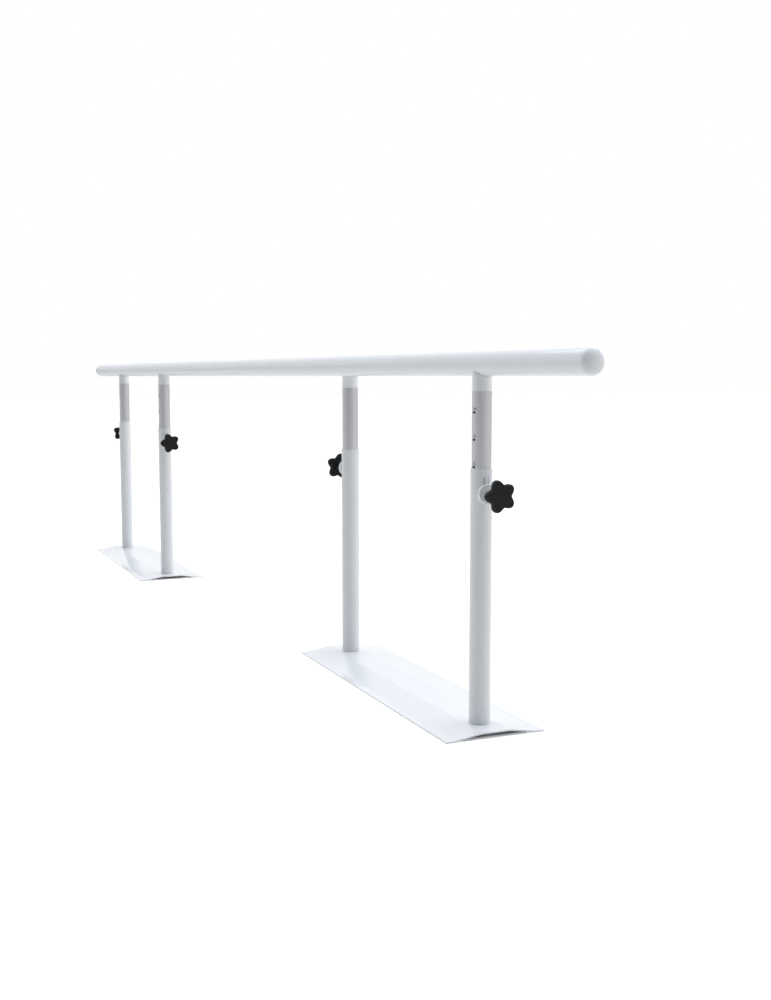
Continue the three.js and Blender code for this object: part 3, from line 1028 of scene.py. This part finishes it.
def settled_dust():
    """Fine dust where a surface faces up: normal's height to a power, times a cloudy noise."""
    tree, given, vector, wanted = new_group("settled_dust", {"Amount": 0.2}, ("Mask",))
    rise = height_of(tree, add(tree, "ShaderNodeNewGeometry").outputs["Normal"])
    facing = math_node(tree, "POWER", positive(tree, rise), 3.0)
    specks = remapped(tree, noise(tree, vector, 900.0, 2.0, 0.7), 0.45, 0.75)
    drift = remapped(tree, noise(tree, vector, 14.0, 4.0, 0.6), 0.35, 0.7)
    mask = scaled(tree, facing, scaled(tree, specks, 0.5, drift))
    tree.links.new(scaled(tree, mask, given["Amount"], clamp=True), wanted["Mask"])
    return tree


def drawn_lines():
    """Fine lines along one axis, as drawing and polishing leave on a tube."""
    numbers = {"Fineness": 900.0, "Length": 6.0}
    tree, given, vector, wanted = new_group("drawn_lines", numbers, ("Height", "Tone"))
    fineness = given["Fineness"]
    values = {"X": fineness, "Y": fineness, "Z": given["Length"]}
    scale = add(tree, "ShaderNodeCombineXYZ", values).outputs[0]
    lines = noise(tree, stretched(tree, vector, scale), 1.0, 3.0, 0.65)
    broad = noise(tree, stretched(tree, vector, (90.0, 90.0, 2.5)), 1.0, 2.0)
    tree.links.new(lines, wanted["Height"])
    tree.links.new(scaled(tree, lines, 0.5, scaled(tree, broad, 0.5)), wanted["Tone"])
    return tree


def turned_rings():
    """Rings round an axis, as a lathe tool leaves on a face: noise of the distance from Z."""
    tree, given, vector, wanted = new_group("turned_rings", {"Fineness": 5000.0}, ("Height", "Tone"))
    away, depth = (
        scaled(tree, value, given["Fineness"])
        for value in (axis_distance(tree, vector), height_of(tree, vector))
    )
    line = add(tree, "ShaderNodeCombineXYZ", {"X": away, "Z": depth}).outputs[0]
    rings = noise(tree, line, 1.0, 2.0, 0.6)
    smudge = noise(tree, vector, 160.0, 3.0)
    tree.links.new(rings, wanted["Height"])
    tree.links.new(scaled(tree, rings, 0.6, scaled(tree, smudge, 0.4)), wanted["Tone"])
    return tree


def moulded_grain():
    """The fine leathery grain of a textured mould: rounded cells broken up by noise."""
    tree, given, vector, wanted = new_group("moulded_grain", {"Fineness": 1400.0}, ("Height", "Tone"))
    fineness = given["Fineness"]
    values = {"Vector": vector, "Scale": fineness}
    cells = add(tree, "ShaderNodeTexVoronoi", values, feature="SMOOTH_F1").outputs["Distance"]
    grit = noise(tree, vector, scaled(tree, fineness, 2.0), 2.0)
    tree.links.new(scaled(tree, grit, 0.3, cells), wanted["Height"])
    tree.links.new(noise(tree, vector, 55.0, 3.0, 0.6), wanted["Tone"])
    return tree


def rub_marks():
    """Short fine scuffs that cross each other, from noise stretched along two slanted lines."""
    tree, given, vector, wanted = new_group("rub_marks", {"Amount": 0.3}, ("Mask",))
    masks = []
    for turn, low in ((0.6, 0.68), (-0.9, 0.7)):
        values = {"Vector": vector, "Axis": (0.3, 0.2, 1.0), "Angle": turn}
        turned = add(tree, "ShaderNodeVectorRotate", values).outputs[0]
        lines = noise(tree, stretched(tree, turned, (1100.0, 45.0, 600.0)), 1.0, 2.0)
        masks.append(remapped(tree, lines, low, low + 0.08))
    patch = remapped(tree, noise(tree, vector, 7.0, 3.0), 0.45, 0.65)
    both = scaled(tree, math_node(tree, "MAXIMUM", *masks), patch)
    tree.links.new(scaled(tree, both, given["Amount"], clamp=True), wanted["Mask"])
    return tree


def group(tree, build, vector, **numbers):
    """Places a shared shader group, which is built the first time it is wanted."""
    shared = bpy.data.node_groups.get(build.__name__) or build()
    return add(tree, "ShaderNodeGroup", {"Vector": vector, **numbers}, node_tree=shared).outputs


# Finishes: each gives a colour, a roughness, a bump's height, strength and distance, and the rest

def toned(tree, tone, colour, low, high):
    """A colour that a tone takes from one share of it to another."""
    return mixed(tree, tone, rgba(colour, low), rgba(colour, high))


def powder_coat(tree, vector):
    """White powder coat: a glossy skin over faint orange peel, with dust on what faces up."""
    peel = group(tree, powder_texture, vector, Dimples=420.0)
    dust = group(tree, settled_dust, vector, Amount=0.02)["Mask"]
    scuffs = group(tree, rub_marks, vector, Amount=0.5)["Mask"]
    cloud = remapped(tree, peel["Cloud"], 0.3, 0.7)
    colour = mixed(tree, dust, toned(tree, cloud, colours().paint, 0.99, 1.008), rgba(DUST))
    rough = scaled(tree, scuffs, 0.12, scaled(tree, cloud, 0.03, 0.07))
    rough = scaled(tree, dust, 0.5, rough, clamp=True)
    return colour, rough, (peel["Height"], 0.05, 0.2 * MM), {"IOR": 1.5}


def satin_steel(tree, vector):
    """Drawn and brushed tube: fine lines along it, faint slide marks, and a painted shade that darkens its
    bore and the walls of its slots.
    """
    steel, bore = colours().steel, sizes().leg_bore
    lines = group(tree, drawn_lines, vector, Fineness=1500.0, Length=9.0)
    smudge = remapped(tree, noise(tree, vector, 22.0, 3.0, 0.6), 0.35, 0.7)
    # Painted shade: inside this radius, which takes in the slots' walls, the steel darkens to a small share
    # of its colour.
    inside = remapped(tree, axis_distance(tree, vector), bore, bore + BORE_SHADE_BLEND, 1.0, 0.0)
    colour = toned(tree, lines["Tone"], steel, 0.92, 1.08)
    colour = mixed(tree, inside, colour, rgba(steel, BORE_SHADE))
    rough = scaled(tree, smudge, 0.05, scaled(tree, lines["Tone"], 0.10, 0.27))
    others = {"Metallic": 1.0, "Specular Tint": (0.75, 0.75, 0.75, 1.0)}
    return colour, rough, (lines["Height"], 0.1, 0.1 * MM), others


def turned_steel(tree, vector):
    """Turned steel with rings round its axis."""
    rings = group(tree, turned_rings, vector, Fineness=4200.0)
    colour = toned(tree, rings["Tone"], colours().turned_steel, 0.85, 1.15)
    rough = scaled(tree, rings["Tone"], 0.16, 0.34)
    return colour, rough, (rings["Height"], 0.2, 0.1 * MM), {"Metallic": 0.6}


def bright_thread(tree, vector):
    """Bright plated thread, rougher in its grooves and darkened there by a painted shade."""
    # Painted shade: the thread's colour falls to 0.6 of the plating towards the roots of its grooves.
    crest = remapped(tree, axis_distance(tree, vector), *THREAD_BAND)
    stain = remapped(tree, noise(tree, vector, 260.0, 3.0), 0.3, 0.7)
    colour = toned(tree, crest, colours().plating, 0.6, 1.0)
    colour = mixed(tree, scaled(tree, stain, 0.25), colour, rgba(STAIN))
    rough = scaled(tree, stain, 0.08, scaled(tree, crest, -0.15, 0.42))
    return colour, rough, (noise(tree, vector, 3000.0), 0.08, 0.1 * MM), {"Metallic": 1.0}


def dark_steel(tree, vector):
    """Blackened or plain steel of the hidden fasteners, slightly stained."""
    stain = remapped(tree, noise(tree, vector, 240.0, 4.0, 0.65), 0.3, 0.7)
    colour = toned(tree, stain, colours().dark_steel, 0.85, 1.15)
    rough = scaled(tree, stain, 0.2, 0.35)
    return colour, rough, (noise(tree, vector, 2600.0), 0.15, 0.1 * MM), {"Metallic": 0.9}


def plain_moulding(tree, vector):
    """Matt black nylon with a fine mould grain."""
    grain = group(tree, moulded_grain, vector, Fineness=1500.0)
    tone = remapped(tree, grain["Tone"], 0.3, 0.7)
    colour = toned(tree, tone, colours().black_plastic, 0.9, 1.12)
    others = {"IOR": 1.45, "Specular IOR Level": 0.3}
    return colour, scaled(tree, tone, 0.06, 0.5), (grain["Height"], 0.2, 0.2 * MM), others


def black_moulding(tree, vector):
    """The same nylon for the knobs, smoother near the lobes' tips, with a painted highlight on the rounded
    edge round their face.
    """
    colour, rough, bump, others = plain_moulding(tree, vector)
    handled = remapped(tree, axis_distance(tree, vector), *HANDLED_BAND)
    height, face, rounding = height_of(tree, vector), knob_face(PLACES[0]), sizes().knob_edge
    # Painted highlight: a band over the rounded edge between the side and the face, a few times paler than
    # the nylon.
    below = remapped(tree, height, *(face - depth for depth in HIGHLIGHT_TOP_BAND))
    above = remapped(tree, height, *(face - share * rounding for share in HIGHLIGHT_FOOT_BAND))
    painted_highlight = rgba(colours().black_plastic, EDGE_PAINTED_HIGHLIGHT)
    colour = mixed(tree, scaled(tree, below, above), colour, painted_highlight)
    return colour, scaled(tree, handled, -0.09, rough), bump, others


def pale_moulding(tree, vector):
    """Pale moulded plastic of the guide bushes."""
    grain = group(tree, moulded_grain, vector, Fineness=1800.0)
    tone = remapped(tree, grain["Tone"], 0.3, 0.7)
    colour = toned(tree, tone, colours().pale_plastic, 0.95, 1.03)
    return colour, scaled(tree, tone, 0.08, 0.42), (grain["Height"], 0.1, 0.1 * MM), {"IOR": 1.5}


def number_ink(tree, vector):
    """Printed grey figures, a little worn through."""
    worn = remapped(tree, noise(tree, vector, 1500.0, 3.0, 0.7), 0.55, 0.8)
    return toned(tree, worn, colours().ink, 1.0, 2.2), scaled(tree, worn, 0.2, 0.5), None, {}


def own_place(tree):
    """A drawn piece's own frame, as the vector that its patterns follow."""
    return add(tree, "ShaderNodeAttribute", attribute_name="own_place").outputs["Vector"]


def object_place(tree):
    """The same for pieces without that attribute."""
    return add(tree, "ShaderNodeTexCoord").outputs["Object"]


FINISHES = {
    "powder_coat": (powder_coat, own_place, "white_powder_coat"),
    "satin_steel": (satin_steel, own_place, "satin_steel"),
    "turned_steel": (turned_steel, own_place, "dark_steel"),
    "bright_thread": (bright_thread, own_place, "satin_steel"),
    "dark_steel": (dark_steel, object_place, "dark_steel"),
    "black_moulding": (black_moulding, own_place, "black_plastic"),
    "pale_moulding": (pale_moulding, own_place, "grey_plastic"),
    "white_moulding": (powder_coat, own_place, "white_plastic"),
    "number_ink": (number_ink, object_place, "black_plastic"),
    "hidden_moulding": (plain_moulding, object_place, "black_plastic"),
}


def new_material(name):
    material = bpy.data.materials.new(name)
    material.use_nodes = True
    return material, material.node_tree


def dress(tree, colour, roughness, bump, others):
    """Feeds a material's shader with what a finish gives."""
    values = {"Base Color": colour, "Roughness": roughness, **others}
    if bump:
        relief = dict(zip(("Height", "Strength", "Distance"), bump))
        values["Normal"] = add(tree, "ShaderNodeBump", relief).outputs["Normal"]
    feed(tree, tree.nodes["Principled BSDF"].inputs, values)


def finished(finish):
    """A finish's material, which is made the first time it is wanted, and its slot."""
    build, place, slot = FINISHES[finish]
    material = bpy.data.materials.get(finish)
    if not material:
        material, tree = new_material(finish)
        dress(tree, *build(tree, place(tree)))
    return material, slot


# Properties

def tint(name, description, default):
    """A colour."""
    return bpy.props.FloatVectorProperty(
        name=name, description=description, default=default, subtype="COLOR", size=3, min=0, max=1
    )


def length(name, description, millimetres):
    """A length, whose default is given in millimetres."""
    return bpy.props.FloatProperty(
        name=name, description=description, default=millimetres * MM, unit="LENGTH", min=0, precision=4
    )


def count(name, description, default, least, most):
    """A whole number."""
    return bpy.props.IntProperty(
        name=name, description=description, default=default, min=least, max=most
    )


class WalkingBarsSizes(bpy.types.PropertyGroup):
    """Sizes of the details that the frame doesn't hold."""

    rim: length("Rim", "Rounding of the tubes' cut ends", 0.6)
    seam_rim: length("Seam rim", "Rounding where a rail meets its end cap", 0.25)
    seat_gap: length("Seat gap", "Gap between pieces that touch", 0.3)
    skin_gap: length("Skin gap", "Gap between the boss and the tube it is welded to", 0.05)
    saddle_groove: length("Saddle groove", "Rounding of a stub's rim under the rail", 0.9)
    cap_wall: length("Cap wall", "Wall of a rail's end cap", 3)
    cap_flange: length("Cap flange", "Straight part of an end cap's flange", 2)
    leg_wall: length("Leg wall", "Wall of the inner tubes", 1.5)
    # Reach of the painted shade that darkens the bores and slot walls of the inner tubes.
    leg_bore: length("Leg bore", "Radius inside which the inner tubes are dull", 20.1)
    index_slot_width: length("Slot width", "Width of the index slots", 9.4)
    index_slot_height: length("Slot height", "Height of the index slots", 4.3)
    index_turn: bpy.props.FloatProperty(
        name="Slot turn",
        description="From square to the rail to the index slots, about a tube's axis",
        default=math.radians(5.5),
        subtype="ANGLE",
    )
    index_drop: length("Index drop", "Slot in use below its clamp's axis", 1.2)
    index_pitch: length("Index pitch", "Distance between index slots", 56)
    index_count: count("Index slots", "Index slots in a leg", 7, 1, 9)
    index_in_use: count("Slot in use", "Slot level with the clamp, from 0 at the top", 3, 0, 8)
    first_number: count("First number", "Number at a leg's top slot", 14, 7, 99)
    number_height: length("Number height", "Height of the printed numbers", 6.4)
    number_rise: length("Number rise", "Foot of a number above its slot's middle", 4.2)
    number_shift: length("Number shift", "Middle of a number beside its slot's middle", 1.4)
    stroke_growth: length("Stroke growth", "Growth of a figure's outline", 0.2)
    ink_thickness: length("Ink", "Thickness of the printed numbers", 0.04)
    slit_width: length("Slit width", "Width of the slits above a clamp", 1.4)
    slit_spacing: length("Slit spacing", "Distance between the two slits", 10.2)
    slit_drop: length("Slit drop", "From an outer tube's top down to its slits", 17)
    boss_rim: length("Boss rim", "Rounding of a boss's edges", 0.5)
    boss_slant: bpy.props.FloatProperty(
        name="Boss slant", description="Share of a boss's ring that slants back", default=0.8, min=0, max=0.8
    )
    boss_neck: length("Boss neck", "Diameter of a boss's neck", 32)
    boss_cup: length("Boss cup", "Depth of a boss's cup from back to face", 8.5)
    boss_floor: length("Boss floor", "Thickness of a boss's floor", 2)
    insert_rim: length("Insert rim", "Rounding of an insert's edges", 0.4)
    insert_chamfer: length("Insert chamfer", "Chamfer of an insert's thread mouth", 1.2)
    pin_radius: length("Pin radius", "Radius of the pin at a stud's tip", 1.5)
    thread_pitch: length("Thread pitch", "Pitch of the studs", 1.5)
    knob_swing: length("Knob swing", "Half the depth of a knob's valleys", 4.8)
    knob_thickness: length("Knob thickness", "Thickness of a knob's star", 13.6)
    knob_edge: length("Knob edge", "Rounding of a knob's edges", 3.4)
    knob_crown: length("Knob crown", "Swell of a knob's face", 0.6)
    knob_hub: length("Knob hub", "Diameter of a knob's hub", 27)
    knob_bore: length("Knob bore", "Depth of a knob's bore", 18)
    sheet_thickness: length("Sheet", "Thickness of a base's top sheet", 3)
    crown_width: length("Crown", "Width of a base's flat crown", 68)
    flange_width: length("Flange", "Width of a base's flat flanges", 16.6)
    bend_reach: length("Bend", "Reach of each bend of a base's sheet", 1.8)
    cut_edge: length("Cut edge", "Rounding of the sheets' cut edges", 0.3)
    screw_hole: length("Screw hole", "Hole for a foot screw", 11.2)
    access_hole: length("Access hole", "Hole in the bottom plate", 24)


class WalkingBarsColours(bpy.types.PropertyGroup):
    """Colours of the finishes."""

    paint: tint("Paint", "White powder coat", (0.84, 0.846, 0.861))
    steel: tint("Satin steel", "Inner tubes", (0.505, 0.502, 0.502))
    turned_steel: tint("Turned steel", "Threaded inserts", (0.78, 0.785, 0.80))
    plating: tint("Plating", "Studs", (0.62, 0.62, 0.60))
    dark_steel: tint("Dark steel", "Foot screws, foot plugs and thrust pads", (0.27, 0.28, 0.30))
    black_plastic: tint("Black plastic", "Star knobs and glide plugs", (0.0068, 0.0069, 0.0074))
    pale_plastic: tint("Pale plastic", "Guide bushes", (0.34, 0.345, 0.355))
    ink: tint("Ink", "Printed numbers", (0.045, 0.045, 0.047))
    floor: tint("Floor", "Plain pale floor", (0.83, 0.81, 0.765))


# Operators

class BuildRails(bpy.types.Operator):
    """Builds the two handrails and their end caps."""

    bl_idname = "walking_bars.rails"
    bl_label = "Handrails"

    def execute(self, context):
        for post in POSTS:
            rail = f"rail_{post}"
            middle = node_middle(rail)
            make_piece(f"hand{rail}", rail_surface(rail), (middle, rail_axes()), "powder_coat", [rail])
            tips = extent(rail, middle, ALONG)
            for end, side, tip in (("near", 1, tips.high), ("far", -1, tips.low)):
                node, face = f"rail_cap_{end}_{post}", middle + tip * ALONG
                surface, spot = cap_surface(node, face, side), (face, rail_axes(side))
                make_piece(f"end_cap_{end}_{post}", surface, spot, "white_moulding", [node])
        return {"FINISHED"}


class BuildStubs(bpy.types.Operator):
    """Builds the short stubs under the rails."""

    bl_idname = "walking_bars.stubs"
    bl_label = "Rail stubs"

    def execute(self, context):
        for place in PLACES:
            spot = (post_foot(place), (ALONG, np.cross(UP, ALONG), UP))
            make_at(place, spot, "stub", stub_surface, "powder_coat", "rail_stub")
        return {"FINISHED"}


class BuildLegs(bpy.types.Operator):
    """Builds the inner tubes and the numbers on them."""

    bl_idname = "walking_bars.legs"
    bl_label = "Inner tubes and numbers"

    def execute(self, context):
        for place in PLACES:
            spot = (post_foot(place), leg_axes(place))
            make_at(place, spot, "leg", leg_surface, "satin_steel", "inner_tube")
            make_numbers(place)
        return {"FINISHED"}


class BuildSleeves(bpy.types.Operator):
    """Builds the outer tubes and the guide bushes in their mouths."""

    bl_idname = "walking_bars.sleeves"
    bl_label = "Outer tubes and guide bushes"

    def execute(self, context):
        for place in PLACES:
            spot = (post_foot(place), tube_axes(place))
            make_at(place, spot, "sleeve", sleeve_surface, "powder_coat", "outer_tube")
            make_at(place, spot, "bush", bush_surface, "pale_moulding", "guide_bush")
        return {"FINISHED"}


class BuildClamps(bpy.types.Operator):
    """Builds the clamp bosses, threaded inserts and studs."""

    bl_idname = "walking_bars.clamps"
    bl_label = "Clamps"

    def execute(self, context):
        for place in PLACES:
            spot = (clamp_point(place), clamp_axes(place))
            make_at(place, spot, "boss", boss_surface, "powder_coat", "clamp_boss")
            make_at(place, spot, "insert", insert_surface, "turned_steel", "threaded_insert")
            make_at(place, spot, "stud", stud_surface, "bright_thread", "threaded_stud")
        return {"FINISHED"}


class BuildKnobs(bpy.types.Operator):
    """Builds the star knobs."""

    bl_idname = "walking_bars.knobs"
    bl_label = "Star knobs"

    def execute(self, context):
        for place in PLACES:
            spot = (clamp_point(place), clamp_axes(place))
            make_at(place, spot, "knob", knob_surface, "black_moulding", "star_knob")
        return {"FINISHED"}


class BuildBases(bpy.types.Operator):
    """Builds the folded top sheets and the bottom plates of the bases."""

    bl_idname = "walking_bars.bases"
    bl_label = "Bases"

    def execute(self, context):
        for end in ENDS:
            spot = (base_middle(end), base_axes(end))
            bevel_edges(make_at(end, spot, "sheet", sheet_surface, "powder_coat", "base_top_sheet"))
            bevel_edges(make_at(end, spot, "plate", plate_surface, "powder_coat", "base_bottom_plate"))
        return {"FINISHED"}


class FinishHiddenPieces(bpy.types.Operator):
    """Gives the hidden fasteners and plugs, whose CAD shapes stay, their finishes."""

    bl_idname = "walking_bars.hidden_pieces"
    bl_label = "Hidden fasteners and plugs"

    def execute(self, context):
        for part, finish in (
            ("foot_plug", "dark_steel"),
            ("foot_screw", "dark_steel"),
            ("thrust_pad", "dark_steel"),
            ("glide_plug", "hidden_moulding"),
        ):
            for place in PLACES:
                kept = frame["nodes"][f"{part}_{place}"]
                kept.material_slots[0].material, slot = finished(finish)
        return {"FINISHED"}


class BuildStage(bpy.types.Operator):
    """Builds the floor, the soft light and the camera."""

    bl_idname = "walking_bars.stage"
    bl_label = "Stage"

    def execute(self, context):
        build_floor()
        build_world(context.scene)
        build_lamp()
        build_camera(context.scene)
        context.scene.view_settings.view_transform = "Standard"
        return {"FINISHED"}


# Stage

def ray_kinds(tree):
    """Whether a ray comes from the camera, and whether it is mirrored or bent."""
    path = add(tree, "ShaderNodeLightPath").outputs
    mirrored = math_node(tree, "MAXIMUM", path["Is Glossy Ray"], path["Is Transmission Ray"])
    return path["Is Camera Ray"], mirrored


def build_floor():
    """A wide plain floor, which glows for the camera."""
    mesh = bpy.data.meshes.new("floor")
    corners = [(-1, -1), (1, -1), (1, 1), (-1, 1)]
    mesh.from_pydata([(x * FLOOR_HALF, y * FLOOR_HALF, 0) for x, y in corners], [], [(0, 1, 2, 3)])
    floor = linked("floor", mesh)
    material, tree = new_material("pale_floor")
    seen, mirrored = ray_kinds(tree)
    glow = scaled(tree, seen, FLOOR_GLOW, scaled(tree, mirrored, FLOOR_GLOSS_GLOW))
    others = {"Specular IOR Level": FLOOR_SHINE, "Emission Color": WHITE, "Emission Strength": glow}
    dress(tree, rgba(colours().floor), FLOOR_ROUGHNESS, None, others)
    mesh.materials.append(material)


def toward(tree, direction, side):
    """direction . side"""
    return vector_node(tree, "DOT_PRODUCT", direction, side)["Value"]


def build_world(scene):
    """A soft studio, pale behind and above the set and dimmer on the side that is seen.

    Matt surfaces take L = base - side x (direction . shade side), at least 0, with a soft rim
    light x max(0, direction . rim side)^2, never more than the cap, times
    1 - back fall x max(0, direction . back side)^2, plus rise x height. Gloss takes
    1 - front x max(0, direction . shade side), and a little less near the horizon. The camera
    sees plain white.
    """
    world = bpy.data.worlds.new("soft_studio")
    world.use_nodes = True
    scene.world = world
    tree = world.node_tree
    direction = add(tree, "ShaderNodeTexCoord").outputs["Generated"]
    height = height_of(tree, direction)
    shade = toward(tree, direction, SHADE_SIDE)
    rim, back = (
        math_node(tree, "POWER", positive(tree, toward(tree, direction, side)), 2.0)
        for side in (RIM_SIDE, BACK_SIDE)
    )
    level = scaled(tree, rim, RIM_LEVEL, positive(tree, scaled(tree, shade, -SIDE_FALL, BASE_LEVEL)))
    level = math_node(tree, "MINIMUM", level, SKY_CAP)
    level = scaled(tree, level, scaled(tree, back, -BACK_FALL, 1.0))
    matt = vector_node(tree, "ADD", level, stretched(tree, height, SKY_RISE))["Vector"]
    haze = scaled(tree, positive(tree, height), HORIZON_RISE, HORIZON_LEVEL)
    gloss = scaled(tree, positive(tree, shade), -FRONT_FALL, 1.0)
    gloss = scaled(tree, gloss, math_node(tree, "MINIMUM", haze, 1.0))
    seen, mirrored = ray_kinds(tree)
    colour = mixed(tree, seen, mixed(tree, mirrored, matt, gloss), WHITE)
    feed(tree, tree.nodes["Background"].inputs, {"Color": colour, "Strength": 1.0})


def aimed(thing, ahead):
    """Turns a lamp or camera so that it looks along a direction."""
    thing.rotation_euler = Vector(ahead).to_track_quat("-Z", "Y").to_euler()


def build_lamp():
    """One wide lamp above, for the soft bands on what faces up."""
    light = bpy.data.lights.new("overhead", "AREA")
    light.shape = "RECTANGLE"
    light.size, light.size_y = LAMP_SIZE
    light.energy = LAMP_POWER
    light.color = LAMP_COLOUR
    lamp = linked("overhead", light)
    lamp.location = LAMP_PLACE
    aimed(lamp, Vector(LAMP_AIM) - Vector(LAMP_PLACE))


def build_camera(scene):
    camera = linked("camera", bpy.data.cameras.new("camera"))
    camera.location = CAMERA_PLACE
    level = math.cos(CAMERA_DROP)
    across, along = -math.sin(CAMERA_TURN) * level, math.cos(CAMERA_TURN) * level
    aimed(camera, (across, along, -math.sin(CAMERA_DROP)))
    camera.data.lens = CAMERA_LENS
    camera.data.clip_end = CAMERA_REACH
    scene.camera = camera


class WalkingBarsPanel(bpy.types.Panel):
    """Lists the pieces, sizes and colours of the walking bars."""

    bl_idname = "VIEW3D_PT_walking_bars"
    bl_label = "Walking bars"
    bl_space_type = "VIEW_3D"
    bl_region_type = "UI"
    bl_category = "Walking bars"

    def draw(self, context):
        for operator in OPERATORS:
            self.layout.operator(operator.bl_idname)
        for group_of in (context.scene.walking_bars_sizes, context.scene.walking_bars_colours):
            box = self.layout.box()
            for name in group_of.__annotations__:
                box.prop(group_of, name)


OPERATORS = (
    BuildRails,
    BuildStubs,
    BuildLegs,
    BuildSleeves,
    BuildClamps,
    BuildKnobs,
    BuildBases,
    FinishHiddenPieces,
    BuildStage,
)
CLASSES = (WalkingBarsSizes, WalkingBarsColours, *OPERATORS, WalkingBarsPanel)


def register():
    for kind in CLASSES:
        bpy.utils.register_class(kind)
    bpy.types.Scene.walking_bars_sizes = bpy.props.PointerProperty(type=WalkingBarsSizes)
    bpy.types.Scene.walking_bars_colours = bpy.props.PointerProperty(type=WalkingBarsColours)


def unregister():
    del bpy.types.Scene.walking_bars_colours
    del bpy.types.Scene.walking_bars_sizes
    for kind in reversed(CLASSES):
        bpy.utils.unregister_class(kind)


def main():
    register()
    bpy.ops.walking_bars.rails()
    bpy.ops.walking_bars.stubs()
    bpy.ops.walking_bars.legs()
    bpy.ops.walking_bars.sleeves()
    bpy.ops.walking_bars.clamps()
    bpy.ops.walking_bars.knobs()
    bpy.ops.walking_bars.bases()
    bpy.ops.walking_bars.hidden_pieces()
    bpy.ops.walking_bars.stage()


if __name__ == "__main__":
    main()
